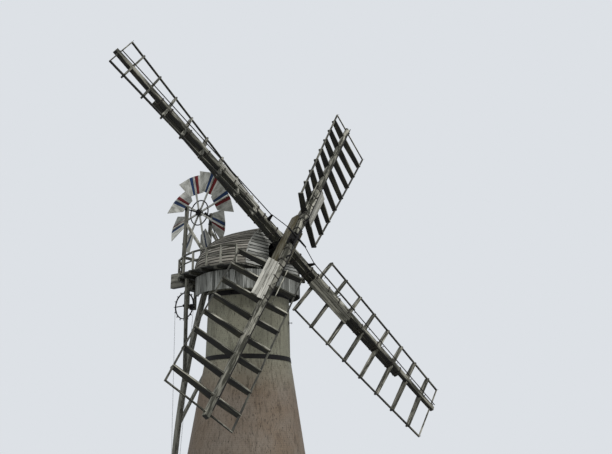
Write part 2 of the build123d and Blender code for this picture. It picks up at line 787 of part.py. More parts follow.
with BuildPart() as gallery_rail:
    for side in SIDES:
        for place in RAIL_POST_PLACES:
            across = side * rail_reach(place)
            add_block(
                (across - RAIL_POST / 2, across + RAIL_POST / 2),
                (place - RAIL_POST / 2, place + RAIL_POST / 2),
                (DECK_TOP, RAIL_TOP),
            )
        for level, section in RAILS:
            line = [(side * rail_reach(place), place, level) for place in RAIL_POST_PLACES]
            line.append((side * SHEER_X, post_y(level), level))
            for start, end in zip(line, line[1:]):
                add_timber(start, end, (0, 0, 1), section, section)
        for half_width, bottom, top in (
            (STAGE_BEAM_WIDTH / 2, SHEER_TOP, STAGE_TOP),
            (POST_WIDTH / 2, STAGE_TOP, RAIL_TOP + POST_DEPTH),
        ):
            seat = (side * SHEER_X - half_width, side * SHEER_X + half_width)
            add_block(seat, (STAGE_BEAM_FRONT, SHEER_REAR), (bottom, top), Mode.SUBTRACT)
save(gallery_rail, "gallery_rail")

# Tail cross-beam under the sheers, tail pole and its two braces

CROSS_BEAM_BOTTOM = RING_TOP - TAIL_CROSS_BEAM_DEPTH

with BuildPart() as tail_cross_beam:
    add_block(
        (-SHEER_OUTSIDE, SHEER_OUTSIDE),
        (TAIL_CROSS_BEAM_Y - TAIL_CROSS_BEAM_WIDTH / 2, TAIL_CROSS_BEAM_Y + TAIL_CROSS_BEAM_WIDTH / 2),
        (CROSS_BEAM_BOTTOM, RING_TOP),
    )
save(tail_cross_beam, "tail_cross_beam")


def pole_curve(offset_y):
    """Line along the bent tail pole, moved along Y."""
    return ThreePointArc(
        (POLE_TOP_Y + offset_y, CROSS_BEAM_BOTTOM),
        (POLE_MIDDLE_Y + offset_y, TOWER_HEIGHT - POLE_MIDDLE_DROP),
        (POLE_FOOT_Y + offset_y, POLE_FOOT_HEIGHT),
    )


with BuildPart() as tail_pole:
    with BuildSketch(Plane.YZ):
        with BuildLine():
            front_edge = pole_curve(-POLE_WIDTH / 2)
            rear_edge = pole_curve(POLE_WIDTH / 2)
            Line(front_edge @ 0, rear_edge @ 0)
            Line(front_edge @ 1, rear_edge @ 1)
        make_face()
    extrude(amount=POLE_WIDTH / 2, both=True)
save(tail_pole, "tail_pole")

with BuildLine() as pole_line:
    pole_axis = pole_curve(0)


def pole_y(height):
    """Y of the bent pole's centre line at a height."""
    low, high = 0.0, 1.0
    for _ in range(30):
        middle = (low + high) / 2
        if (pole_axis @ middle).Y > height:
            low = middle
        else:
            high = middle
    return (pole_axis @ low).X


with BuildPart() as pole_braces:
    for side, drop in ((-1, NEAR_BRACE_DROP), (1, FAR_BRACE_DROP)):
        foot = TOWER_HEIGHT - drop
        top = (side * BRACE_TOP_X, BRACE_TOP_Y, RING_TOP + BRACE_SECTION)
        add_timber(top, (0, pole_y(foot), foot), (0, 1, 0), BRACE_SECTION, BRACE_SECTION)
    add_block((-DECK_SIDE, DECK_SIDE), (0, DECK_REAR), (RING_TOP, SHEER_TOP), Mode.SUBTRACT)
    half_pole = POLE_WIDTH / 2
    add_block((-half_pole, half_pole), (0, 2 * DECK_REAR), (0, RING_TOP), Mode.SUBTRACT)
save(pole_braces, "pole_braces")

# Striking chain wheel, its hangers and the endless chain

with BuildPart() as wheel_hangers:
    for place in (HANGER_OUTER_X, HANGER_INNER_X):
        with BuildSketch(Plane.YZ.offset(place)):
            with BuildLine():
                Polyline(
                    (WHEEL_Y - HANGER_WIDTH / 2, CROSS_BEAM_BOTTOM),
                    (WHEEL_Y - HANGER_WIDTH / 2, WHEEL_HEIGHT - HANGER_BELOW_AXLE),
                    (WHEEL_Y + HANGER_WIDTH / 2, WHEEL_HEIGHT - HANGER_BELOW_AXLE),
                    (WHEEL_Y + HANGER_WIDTH / 2, CROSS_BEAM_BOTTOM),
                    close=True,
                )
            make_face()
        extrude(amount=HANGER_THICKNESS / 2, both=True)
    with BuildSketch(Plane.YZ):
        with Locations((WHEEL_Y, WHEEL_HEIGHT)):
            Circle(WHEEL_AXLE_RADIUS + JOURNAL_GAP)
    extrude(amount=2 * HANGER_OUTER_X, mode=Mode.SUBTRACT)
save(wheel_hangers, "wheel_hangers")

WHEEL_PLANE = Plane(origin=(WHEEL_X, WHEEL_Y, WHEEL_HEIGHT), x_dir=(0, 1, 0), z_dir=(1, 0, 0))

with BuildPart() as chain_wheel:
    with BuildSketch(WHEEL_PLANE):
        Circle(WHEEL_RADIUS)
        Circle(WHEEL_RADIUS - WHEEL_RIM_DEPTH, mode=Mode.SUBTRACT)
    extrude(amount=WHEEL_RIM_WIDTH / 2, both=True)
    with BuildSketch(WHEEL_PLANE):
        with PolarLocations(0, WHEEL_SPOKES):
            with Locations((WHEEL_RADIUS / 2, 0)):
                Rectangle(WHEEL_RADIUS - WHEEL_RIM_DEPTH / 2, WHEEL_SPOKE_WIDTH)
    extrude(amount=WHEEL_SPOKE_DEPTH / 2, both=True)
    with BuildSketch(WHEEL_PLANE):
        Circle(WHEEL_HUB_RADIUS)
    extrude(amount=WHEEL_HUB_LENGTH / 2, both=True)
    with BuildSketch(WHEEL_PLANE.offset(-WHEEL_HUB_LENGTH / 2)):
        Circle(WHEEL_AXLE_RADIUS)
    extrude(amount=HANGER_INNER_X - WHEEL_X + WHEEL_HUB_LENGTH / 2 + HANGER_THICKNESS)
    for face in SIDES:
        near_side = face * WHEEL_RIM_WIDTH / 2
        with BuildSketch(WHEEL_PLANE.offset(near_side)):
            with PolarLocations(WHEEL_RADIUS - WHEEL_RIM_DEPTH / 2 + FORK_REACH / 2, FORK_COUNT):
                Rectangle(WHEEL_RIM_DEPTH + FORK_REACH, FORK_WIDTH)
        extrude(amount=face * FORK_THICKNESS)
    pinion_place = (HANGER_OUTER_X + HANGER_INNER_X - PINION_LENGTH) / 2 - WHEEL_X
    with BuildSketch(WHEEL_PLANE.offset(pinion_place)):
        Circle(PINION_RADIUS)
    extrude(amount=PINION_LENGTH)
save(chain_wheel, "chain_wheel")

CHAIN_LOOP_RADIUS = WHEEL_RADIUS + SLIDE_GAP + CHAIN_RADIUS


def chain_path():
    """Endless chain in the wheel's plane: over the rim and down both sides to a bottom bend."""
    front = radians(180 + CHAIN_FRONT_LEAN)
    rear = radians(-CHAIN_REAR_LEAN)
    front_leave = (CHAIN_LOOP_RADIUS * cos(front), CHAIN_LOOP_RADIUS * sin(front))
    rear_leave = (CHAIN_LOOP_RADIUS * cos(rear), CHAIN_LOOP_RADIUS * sin(rear))
    drop = CHAIN_BOTTOM - WHEEL_HEIGHT
    front_foot = (front_leave[0] - (drop - front_leave[1]) * tan(radians(CHAIN_FRONT_LEAN)), drop)
    rear_foot = (rear_leave[0] + (drop - rear_leave[1]) * tan(radians(CHAIN_REAR_LEAN)), drop)
    with BuildLine(WHEEL_PLANE) as path:
        sweep_angle = 180 + CHAIN_FRONT_LEAN + CHAIN_REAR_LEAN
        CenterArc((0, 0), CHAIN_LOOP_RADIUS, -CHAIN_REAR_LEAN, sweep_angle)
        FilletPolyline(front_leave, front_foot, rear_foot, rear_leave, radius=CHAIN_BOTTOM_RADIUS)
    return path.wires()[0]


with BuildPart() as striking_chain:
    route = chain_path()
    with BuildSketch(Plane(origin=route @ 0, x_dir=(1, 0, 0), z_dir=route % 0)) as section:
        Circle(CHAIN_RADIUS)
    sweep(section.sketch, path=route)
save(striking_chain, "striking_chain")

# Windshaft with its poll end

with BuildPart() as windshaft:
    tail_end = TAIL_BEARING_PLACE + TAIL_JOURNAL_LENGTH / 2
    with BuildSketch(HUB_PLANE.offset(-tail_end)):
        Circle(TAIL_JOURNAL_RADIUS)
    extrude(amount=TAIL_JOURNAL_LENGTH)
    with BuildSketch(HUB_PLANE.offset(-tail_end + TAIL_JOURNAL_LENGTH)):
        Circle(SHAFT_RADIUS)
    extrude(amount=tail_end - TAIL_JOURNAL_LENGTH)
    with BuildSketch(HUB_PLANE.offset(-NECK_BEARING_PLACE - NECK_JOURNAL_LENGTH / 2)):
        Circle(NECK_JOURNAL_RADIUS)
    extrude(amount=NECK_JOURNAL_LENGTH)
    box_size = STOCK_SIZE + 2 * POLL_WALL
    for index in range(2):
        centre = -STOCK_BEHIND + index * STOCK_SPACING
        turned = turn_plane(HUB_PLANE, SAIL_TURN - index * 90).offset(centre - box_size / 2)
        with BuildSketch(turned):
            Rectangle(box_size, 2 * POLL_REACH)
        extrude(amount=box_size)
    front = -STOCK_BEHIND + STOCK_SPACING + box_size / 2
    with BuildSketch(HUB_PLANE.offset(front)):
        Circle(POLL_NOSE_RADIUS)
    extrude(amount=POLL_NOSE_LENGTH)
    for index in range(2):
        centre = -STOCK_BEHIND + index * STOCK_SPACING
        turned = turn_plane(HUB_PLANE, SAIL_TURN - index * 90).offset(centre - STOCK_SIZE / 2)
        with BuildSketch(turned):
            Rectangle(STOCK_SIZE, 4 * POLL_REACH)
        extrude(amount=STOCK_SIZE, mode=Mode.SUBTRACT)
save(windshaft, "windshaft")


def sail_plane(index):
    """Plane of a sail: X towards the trailing side, Y out along the whip, Z forward."""
    turned = turn_plane(HUB_PLANE, SAIL_TURN - index * 90)
    return turned.offset(STOCK_SPACING * (index % 2))


def across_plane(plane, radius, z=0):
    """Plane square to the whip at a radius: X towards the trailing side, Z out along the whip."""
    return Plane(plane.from_local_coords(Vector(0, radius, z)), plane.x_dir, plane.y_dir)


stocks = []
for index, label in enumerate(("inner_stock", "outer_stock")):
    plane = sail_plane(index)
    back = -STOCK_BEHIND
    with BuildPart() as stock:
        with BuildSketch(plane.offset(back - STOCK_SIZE / 2)):
            Rectangle(STOCK_SIZE, 2 * STOCK_PARALLEL)
        extrude(amount=STOCK_SIZE)
        for side in SIDES:
            shift = (STOCK_SIZE - STOCK_END_DEPTH) / 2
            with BuildSketch(across_plane(plane, side * STOCK_PARALLEL, back)) as wide_section:
                Rectangle(STOCK_SIZE, STOCK_SIZE)
            with BuildSketch(across_plane(plane, side * STOCK_REACH, back + shift)) as thin_section:
                Rectangle(STOCK_END_WIDTH, STOCK_END_DEPTH)
            loft([wide_section.sketch.face(), thin_section.sketch.face()], ruled=True)
    save(stock, label)
    stocks.append(stock.part)

# Four sails: a whip, twisted rows of bars and two hem laths, with no shutters left in them


def twist_at(radius):
    """Angle of a bar to the plane of the sails."""
    share = (radius - FIRST_BAR) / (BAR_SPACING * (BAR_COUNT - 1))
    return radians(HEEL_TWIST + (TIP_TWIST - HEEL_TWIST) * share)


def hem_point(plane, radius, reach):
    """Point on a hem; a positive reach is on the trailing side."""
    twist = twist_at(radius)
    return plane.from_local_coords(Vector(reach * cos(twist), radius, -reach * sin(twist)))


BAR_RADII = [FIRST_BAR + BAR_SPACING * number for number in range(BAR_COUNT)] + [END_RAIL]


def whip_body(plane):
    """Whip of one sail, of even section near the hub and tapered to the tip."""
    with BuildPart() as whip:
        with BuildSketch(across_plane(plane, WHIP_START)):
            Rectangle(WHIP_WIDTH, WHIP_DEPTH)
        extrude(amount=WHIP_PARALLEL - WHIP_START)
        with BuildSketch(across_plane(plane, WHIP_PARALLEL)) as heel:
            Rectangle(WHIP_WIDTH, WHIP_DEPTH)
        with BuildSketch(across_plane(plane, SAIL_LENGTH)) as tip:
            Rectangle(WHIP_TIP_WIDTH, WHIP_TIP_DEPTH)
        loft([heel.sketch.face(), tip.sketch.face()], ruled=True)
    return whip.part


def bar_plane(plane, radius):
    """Plane of one bar: X along it towards the trailing side, Y backwards, Z out along the whip."""
    trailing = hem_point(plane, radius, TRAILING_WIDTH)
    centre = plane.from_local_coords(Vector(0, radius, 0))
    return Plane(centre, trailing - centre, plane.y_dir)


def add_bar(plane, radius):
    """Bar with a straight front edge, deepest where it passes through the whip."""
    with BuildSketch(bar_plane(plane, radius).offset(-BAR_THICKNESS / 2)) as profile:
        with BuildLine():
            Polyline(
                (-LEADING_WIDTH, -BAR_FRONT),
                (TRAILING_WIDTH, -BAR_FRONT),
                (TRAILING_WIDTH, BAR_HEM_DEPTH - BAR_FRONT),
                (0, BAR_ROOT_DEPTH - BAR_FRONT),
                (-LEADING_WIDTH, BAR_HEM_DEPTH - BAR_FRONT),
                close=True,
            )
        make_face()
    extrude(profile.sketch, amount=BAR_THICKNESS)


def add_heel_board(plane):
    """Boards on the front of the first bars, twisted with them, beside the whip."""
    sections = []
    for radius in (HEEL_BOARD_START, HEEL_BOARD_END):
        with BuildSketch(bar_plane(plane, radius)) as section:
            middle = (HEEL_BOARD_INNER + HEEL_BOARD_REACH) / 2
            with Locations((middle, -BAR_FRONT - HEEL_BOARD_THICKNESS / 2)):
                Rectangle(HEEL_BOARD_REACH - HEEL_BOARD_INNER, HEEL_BOARD_THICKNESS)
        sections.append(section.sketch.face())
    loft(sections, ruled=True)


def add_inner_lath(plane):
    """Lath let into the front of the first bars, on the leading side of the whip."""
    ends = []
    for radius in (FIRST_BAR - BAR_THICKNESS, BAR_RADII[INNER_LATH_BARS - 1] + BAR_THICKNESS):
        point = bar_plane(plane, radius).from_local_coords(Vector(-INNER_LATH_REACH, -BAR_FRONT, 0))
        ends.append(tuple(point))
    add_timber(ends[0], ends[1], plane.x_dir, INNER_LATH_SECTION, INNER_LATH_SECTION)


for index, letter in enumerate("abcd"):
    plane = sail_plane(index)
    with BuildPart() as sail:
        add(whip_body(plane))
        for radius in BAR_RADII:
            add_bar(plane, radius)
        add_heel_board(plane)
        add_inner_lath(plane)
        for reach in (-LEADING_WIDTH, TRAILING_WIDTH):
            points = [hem_point(plane, radius, reach) for radius in BAR_RADII]
            for start, end in zip(points, points[1:]):
                add_timber(tuple(start), tuple(end), plane.x_dir, HEM_WIDTH, HEM_DEPTH)
        add(stocks[index % 2], mode=Mode.SUBTRACT)
    save(sail, "sail_" + letter)

with BuildPart() as sail_straps:
    for index in range(4):
        plane = sail_plane(index)
        middle = (WHIP_DEPTH / 2 - STOCK_BEHIND - STOCK_SIZE / 2) / 2
        for radius in STRAP_PLACES:
            with BuildSketch(across_plane(plane, radius - STRAP_WIDTH / 2, middle)):
                Rectangle(STOCK_SIZE + 2 * STRAP_THICKNESS, STOCK_SIZE + WHIP_DEPTH + 2 * STRAP_THICKNESS)
                Rectangle(STOCK_SIZE, STOCK_SIZE + WHIP_DEPTH, mode=Mode.SUBTRACT)
            extrude(amount=STRAP_WIDTH)
save(sail_straps, "sail_straps")

# Striking gear: a spider on the rod through the windshaft, cranks on the whips, shutter bars

SPIDER_PLACE = front + POLL_NOSE_LENGTH
WHIP_FACE = WHIP_DEPTH / 2
CRANK_TOP = WHIP_FACE + SHUTTER_BAR_HEEL
LINK_BESIDE = (CRANK_THICKNESS + LINK_SECTION) / 2

with BuildPart() as spider:
    with BuildSketch(HUB_PLANE.offset(SPIDER_PLACE)):
        Circle(STRIKING_ROD_RADIUS)
    extrude(amount=SPIDER_CENTRE - SPIDER_PLACE)
    with BuildSketch(HUB_PLANE.offset(SPIDER_CENTRE)):
        Circle(SPIDER_HUB_RADIUS)
    extrude(amount=SPIDER_HUB_LENGTH / 2, both=True)
    for index in range(4):
        turned = turn_plane(HUB_PLANE, SAIL_TURN - index * 90).offset(SPIDER_CENTRE)
        with BuildSketch(turned):
            with Locations((0, SPIDER_ARM / 2)):
                Rectangle(SPIDER_BAR, SPIDER_ARM)
        extrude(amount=SPIDER_BAR / 2, both=True)
        plane = sail_plane(index)
        arm_end = turned.from_local_coords(Vector(LINK_BESIDE, SPIDER_ARM - SPIDER_BAR, 0))
        crank_tip = Vector(LINK_BESIDE, CRANK_PLACE + LINK_SECTION, CRANK_TOP - LINK_SECTION)
        crank_end = plane.from_local_coords(crank_tip)
        add_timber(tuple(arm_end), tuple(crank_end), plane.x_dir, LINK_SECTION, LINK_SECTION)
save(spider, "spider")

with BuildPart() as bell_cranks:
    for index in range(4):
        plane = sail_plane(index)
        with BuildSketch(Plane(plane.origin, plane.y_dir, plane.x_dir)):
            with BuildLine():
                Polyline(
                    (CRANK_PLACE - CRANK_FOOT, WHIP_FACE),
                    (CRANK_PLACE, WHIP_FACE),
                    (CRANK_PLACE + CRANK_HEAD, CRANK_TOP),
                    (CRANK_PLACE - CRANK_HEAD, CRANK_TOP),
                    close=True,
                )
            make_face()
        extrude(amount=CRANK_THICKNESS / 2, both=True)
save(bell_cranks, "bell_cranks")

with BuildPart() as shutter_bars:
    for index in range(4):
        plane = sail_plane(index)
        heel = Vector(0, CRANK_PLACE + CRANK_HEAD, CRANK_TOP - SHUTTER_BAR_SECTION)
        tip = Vector(0, END_RAIL, WHIP_TIP_DEPTH / 2 + SHUTTER_BAR_TIP)
        ends = [tuple(plane.from_local_coords(point)) for point in (heel, tip)]
        add_timber(ends[0], ends[1], plane.x_dir, SHUTTER_BAR_SECTION, SHUTTER_BAR_SECTION)
        slope = (tip.Z - heel.Z) / (tip.Y - heel.Y)
        for number, radius in enumerate(BAR_RADII[:-1]):
            level = heel.Z + slope * (radius - heel.Y)
            low = 0 if number % GUIDE_EVERY == 1 else level - STUB_LENGTH
            with BuildSketch(plane.offset(low)):
                with Locations((0, radius + BAR_THICKNESS)):
                    Rectangle(STUB_SECTION, STUB_SECTION)
            extrude(amount=level - low)
        add(whip_body(plane), mode=Mode.SUBTRACT)
save(shutter_bars, "shutter_bars")

# Fantail on its axle between the fan posts

FAN_PLANE = Plane(origin=(0, FAN_FORWARD, FAN_HEIGHT), x_dir=(0, 1, 0), z_dir=(1, 0, 0))
AXLE_HALF = SHEER_X + POST_WIDTH / 2 + FAN_AXLE_OVERHANG

with BuildPart() as fan_wheel:
    with BuildSketch(FAN_PLANE):
        Circle(FAN_AXLE_RADIUS)
    extrude(amount=AXLE_HALF, both=True)
    with BuildSketch(FAN_PLANE):
        Circle(FAN_HUB_RADIUS)
    extrude(amount=FAN_HUB_LENGTH / 2, both=True)
    with BuildSketch(FAN_PLANE):
        Circle(FAN_RING_RADIUS + FAN_RING_SECTION / 2)
        Circle(FAN_RING_RADIUS - FAN_RING_SECTION / 2, mode=Mode.SUBTRACT)
    extrude(amount=FAN_RING_SECTION / 2, both=True)
    with BuildSketch(FAN_PLANE):
        with PolarLocations(0, FAN_BLADES, start_angle=FAN_TURN):
            with Locations((SPOKE_REACH / 2, 0)):
                Rectangle(SPOKE_REACH, SPOKE_WIDTH)
    extrude(amount=SPOKE_DEPTH / 2, both=True)
    bevel_base = BEVEL_PLACE - BEVEL_RADIUS
    with BuildSketch(FAN_PLANE.offset(bevel_base)) as large_end:
        Circle(BEVEL_RADIUS - BEVEL_GAP)
    with BuildSketch(FAN_PLANE.offset(bevel_base + BEVEL_FACE)) as small_end:
        Circle(BEVEL_RADIUS - BEVEL_FACE - BEVEL_GAP)
    loft([large_end.sketch.face(), small_end.sketch.face()], ruled=True)
save(fan_wheel, "fan_wheel")

with BuildPart() as fan_blades:
    for number in range(FAN_BLADES):
        turned = turn_plane(FAN_PLANE, FAN_TURN + number * 360 / FAN_BLADES)
        spoke = Axis((0, 0, 0), turned.x_dir)
        pitched = Plane(turned.origin, turned.x_dir, turned.z_dir.rotate(spoke, BLADE_PITCH))
        with BuildSketch(pitched.offset(SPOKE_DEPTH / 2)):
            with BuildLine():
                Polyline(
                    (BLADE_INNER_RADIUS, -BLADE_INNER_WIDTH / 2),
                    (FAN_RADIUS, -BLADE_OUTER_WIDTH / 2),
                    (FAN_RADIUS, BLADE_OUTER_WIDTH / 2),
                    (BLADE_INNER_RADIUS, BLADE_INNER_WIDTH / 2),
                    close=True,
                )
            make_face()
        extrude(amount=BLADE_THICKNESS)
    add(fan_wheel.part, mode=Mode.SUBTRACT)
save(fan_blades, "fan_blades")

with BuildPart() as drive_shaft:
    with BuildSketch(DRIVE_PLANE.offset(BEVEL_RADIUS)):
        Circle(DRIVE_RADIUS)
    extrude(amount=DRIVE_LENGTH - BEVEL_RADIUS)
    with BuildSketch(DRIVE_PLANE.offset(BEVEL_RADIUS)) as large_end:
        Circle(BEVEL_RADIUS - BEVEL_GAP)
    with BuildSketch(DRIVE_PLANE.offset(BEVEL_RADIUS - BEVEL_FACE)) as small_end:
        Circle(BEVEL_RADIUS - BEVEL_FACE - BEVEL_GAP)
    loft([large_end.sketch.face(), small_end.sketch.face()], ruled=True)
save(drive_shaft, "drive_shaft")
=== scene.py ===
"""Traditional tower windmill with its boards, paint and ironwork. Metres, +Z up."""
import json
import random
from math import asin, atan2, cos, hypot, pi, radians, sin, sqrt, tan

import bpy
from mathutils import Matrix, Vector


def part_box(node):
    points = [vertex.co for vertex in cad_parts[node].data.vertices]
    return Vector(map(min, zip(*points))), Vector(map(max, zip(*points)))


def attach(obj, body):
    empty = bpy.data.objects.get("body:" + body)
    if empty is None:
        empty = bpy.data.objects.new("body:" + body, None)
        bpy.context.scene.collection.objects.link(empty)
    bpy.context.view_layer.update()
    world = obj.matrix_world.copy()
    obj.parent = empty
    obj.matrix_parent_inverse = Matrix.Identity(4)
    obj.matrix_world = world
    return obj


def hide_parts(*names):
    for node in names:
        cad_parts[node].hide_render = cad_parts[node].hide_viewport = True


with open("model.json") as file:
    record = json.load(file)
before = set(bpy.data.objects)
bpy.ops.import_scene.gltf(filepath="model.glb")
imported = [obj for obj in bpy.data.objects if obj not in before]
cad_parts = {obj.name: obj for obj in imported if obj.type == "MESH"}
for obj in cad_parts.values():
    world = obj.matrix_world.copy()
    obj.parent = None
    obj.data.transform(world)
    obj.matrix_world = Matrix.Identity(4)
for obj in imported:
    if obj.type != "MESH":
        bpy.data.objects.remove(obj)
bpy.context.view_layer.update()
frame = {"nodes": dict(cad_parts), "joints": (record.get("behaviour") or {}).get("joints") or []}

random.seed(7)

# Places taken from the frame

JOINT_PLACES = {joint["name"]: Vector(joint["pos_m"]) for joint in frame["joints"]}
HUB = JOINT_PLACES["sails_turn"]
FAN_CENTRE = JOINT_PLACES["fan_turn"]
WHEEL = JOINT_PLACES["wheel_turn"]
SHEER_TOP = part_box("sheers")[1].z
DECK_UNDERSIDE, DECK_TOP = (corner.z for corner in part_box("gallery_deck"))
RAIL_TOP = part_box("gallery_rail")[1].z
PETTICOAT_BOTTOM, PETTICOAT_TOP = (corner.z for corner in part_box("near_petticoat"))
GABLE_LOW, GABLE_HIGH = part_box("front_gable")
STAGE_LOW, STAGE_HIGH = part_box("fan_stage")
DOOR_LOW, DOOR_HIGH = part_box("door")

# Sizes shared with the model's source, in metres

TOWER_BATTER_HEIGHT = 6.335
SHEER_OUTSIDE = 0.86
DECK_SIDE = 2.58
DECK_REAR = 3.55
DECK_FRONT = -1.48
CAP_HALF_WIDTH = 2.03
CAP_NOSE = 2.19
CAP_TAIL = 2.65
CAP_HEIGHT = 1.76
CAP_TAIL_BOARD = 2.56
TAIL_ROUNDNESS = 2.4
PETTICOAT_RADIUS = 2.156
PETTICOAT_FRONT = 1.98
PETTICOAT_REAR = 1.45
REAR_SKIRT_BOTTOM = 9.4
RAIL_POST_PLACES = (-1.32, -0.72, 0, 0.9, 1.75, 2.55)
RAIL_POST_SIZE = 0.08
RAIL_INSET = 0.06
TOP_RAIL_SIZE = 0.07
MID_RAIL = 0.38
MID_RAIL_SIZE = 0.05
POST_FOOT = 3.41
POST_OUTSIDE = 0.815
SHAFT_TILT = radians(16.4)
SAIL_TURN = radians(49)
STOCK_SPACING = 0.378
STOCK_SIZE = 0.3
STOCK_PARALLEL = 2.3
STRAP_PLACES = (0.76, 1.56, 1.96)
STRAP_THICKNESS = 0.012
SAIL_LENGTH = 10.314
WHIP_START = 0.42
WHIP_DEPTH = 0.22
STOCK_BEHIND = (WHIP_DEPTH + STOCK_SIZE) / 2
FIRST_BAR = 2.12
BAR_SPACING = 1.042
BAR_COUNT = 8
BAR_FRONT = 0.085
END_RAIL = 10.138
LEADING_WIDTH = 1.011
TRAILING_WIDTH = 1.727
HEEL_TWIST = 28.1
TIP_TWIST = 11.9
HEEL_BOARD_START = 1.88
HEEL_BOARD_END = 4.28
HEEL_BOARD_THICKNESS = 0.028
INNER_LATH_REACH = 0.335
INNER_LATH_SECTION = 0.036
FAN_RADIUS = 1.94
FAN_TURN = radians(30.5)
FAN_BLADES = 8
BLADE_INNER_RADIUS = 0.98
BLADE_INNER_WIDTH = 0.68
BLADE_THICKNESS = 0.022
BLADE_PITCH = radians(24)
SPOKE_WIDTH = 0.075
SPOKE_DEPTH = 0.055
SPOKE_REACH = 1.84
FAN_HUB_RADIUS = 0.13
RING_RADIUS = 0.58
CHAIN_LOOP_RADIUS = 0.5993
CHAIN_BOTTOM = 1.15
CHAIN_FRONT_LEAN = radians(5)
CHAIN_REAR_LEAN = radians(1)
CHAIN_BEND = 0.12

# Sizes measured in the photograph where the model's source is simpler or thinner, in metres

BAR_THICKNESS = 0.075
BAR_HEM_DEPTH = 0.22
BAR_ROOT_DEPTH = 0.3
BAR_OVERHANG = 0.035
END_RAIL_WIDTH = 0.05
END_RAIL_DEPTH = 0.06
HEM_WIDTH = 0.06
HEM_DEPTH = 0.08
HEEL_BOARD_INNER = 0.035
HEEL_BOARD_REACH = 0.56
HEEL_BOARD_FRONT = 0.15
BLADE_OUTER_WIDTH = 1.58
RING_SECTION_RADIUS = 0.028
BOSS_RADIUS = 0.155
BOSS_HALF_LENGTH = 0.11

# Sizes of nuts and of the worn edges of timbers, in metres

BIG_NUT = 0.035
SPOKE_NUT = 0.03
SMALL_NUT = 0.022
HINGE_NUT = 0.02
IRON_EDGE = 0.002
PACKING_ARRIS = 0.003
LATH_ARRIS = 0.004
BOARD_ARRIS = 0.005
TIMBER_ARRIS = 0.006
RAIL_ARRIS = 0.007
POST_ARRIS = 0.008
SHEER_ARRIS = 0.01
BEAM_ARRIS = 0.012
WHIP_ARRIS = 0.014


# Camera at the photograph's viewing angle, solved on the sails for a lens of about 50 mm

EYE = Vector((-26.0558, -25.0725, 2.2))
RIGHT = Vector((0.643828, -0.765164, -0.003138))
UP = Vector((-0.199003, -0.171403, 0.964893))
camera_data = bpy.data.cameras.new("camera")
camera_data.sensor_width = 36
camera_data.lens = 50.57
camera_data.clip_end = 500
camera = bpy.data.objects.new("camera", camera_data)
bpy.context.collection.objects.link(camera)
camera.matrix_world = Matrix((RIGHT, UP, RIGHT.cross(UP))).transposed().to_4x4()
camera.matrix_world.translation = EYE
bpy.context.scene.camera = camera


# Nodes and materials

# Numbers of the Mix node's sockets for colours
MIX_SHARE, MIX_FIRST, MIX_SECOND, MIX_RESULT = 0, 6, 7, 2

# Cells to the metre of each pattern. Real fibres are finer than a millimetre, and are drawn 17 mm wide
# in bare timber and 22 mm wide under paint so that they show
FIBRES = (60.0, 60.0, 2.0)
PAINT_FIBRES = (45.0, 45.0, 2.0)
# Streaks 60 mm wide and over a metre long
STREAKS = (17.0, 17.0, 0.7)
# Patches of mould and of dirt, 110 and 170 mm wide
MOULD_PATCHES = (9.0, 9.0, 1.1)
DIRT_PATCHES = (6.0, 6.0, 2.0)
# Tone that changes from one timber to the next, over 8 m
TONE = (0.13, 0.13, 0.13)
# Spots of rust 55 mm wide
RUST_SPOTS = (18.0, 18.0, 18.0)
# The wall's pits, 38 mm wide, its streaks and its clouds of over a metre
PITS = (26.0, 26.0, 7.0)
WALL_STREAKS = (9.0, 9.0, 1.1)
CLOUDS = (0.9, 0.9, 0.9)

BRICK_LENGTH = 0.23
BRICK_COURSE = 0.077
PAVER_WIDTH = 0.115
MORTAR_JOINT = 0.01
WALL_RADIUS = 2.2
STAIN_HEIGHT = 1.6


def linear(code):
    """sRGB hex value as a linear colour."""
    parts = [int(code[place:place + 2], 16) / 255 for place in (0, 2, 4)]
    return [part / 12.92 if part <= 0.04045 else ((part + 0.055) / 1.055) ** 2.4 for part in parts] + [1]


def add_node(tree, kind, links=None, stops=(), **settings):
    """A node with its settings and, for a colour ramp, its two (position, hex) stops.

    links maps an input to a value or to another node's output.
    """
    node = tree.nodes.new(kind)
    for key, value in settings.items():
        setattr(node, key, value)
    for key, value in (links or {}).items():
        if isinstance(value, bpy.types.NodeSocket):
            tree.links.new(value, node.inputs[key])
        else:
            node.inputs[key].default_value = value
    for number, (place, code) in enumerate(stops):
        node.color_ramp.elements[number].position = place
        node.color_ramp.elements[number].color = linear(code)
    return node


def new_material(name, roughness, specular=0.5):
    material = bpy.data.materials.new(name)
    material.use_nodes = True
    tree = material.node_tree
    shader = tree.nodes["Principled BSDF"]
    shader.inputs["Roughness"].default_value = roughness
    shader.inputs["Specular IOR Level"].default_value = specular
    return material, tree, shader


def pattern(tree, place, cells, detail, roughness):
    """Noise with so many cells to the metre along each axis, which stretches it along a board."""
    mapped = add_node(tree, "ShaderNodeMapping", {"Vector": place, "Scale": cells}).outputs["Vector"]
    return add_node(
        tree, "ShaderNodeTexNoise",
        {"Vector": mapped, "Scale": 1.0, "Detail": detail, "Roughness": roughness},
    ).outputs["Fac"]


def stain_and_shade(tree, colour, share, value, stops):
    """A colour darkened through two stops read from a value: by real stains, and by painted shade where the
    value is a shade mask.
    """
    stain = add_node(tree, "ShaderNodeValToRGB", {"Fac": value}, stops).outputs["Color"]
    return add_node(
        tree, "ShaderNodeMix", {MIX_SHARE: share, MIX_FIRST: colour, MIX_SECOND: stain},
        data_type="RGBA", blend_type="MULTIPLY",
    ).outputs[MIX_RESULT]


def surface(tree, shader, colour, height, strength, distance):
    """Gives a shader its colour and a relief that is so many metres deep."""
    tree.links.new(colour, shader.inputs["Base Color"])
    relief = add_node(tree, "ShaderNodeBump", {"Height": height, "Strength": strength, "Distance": distance})
    tree.links.new(relief.outputs["Normal"], shader.inputs["Normal"])


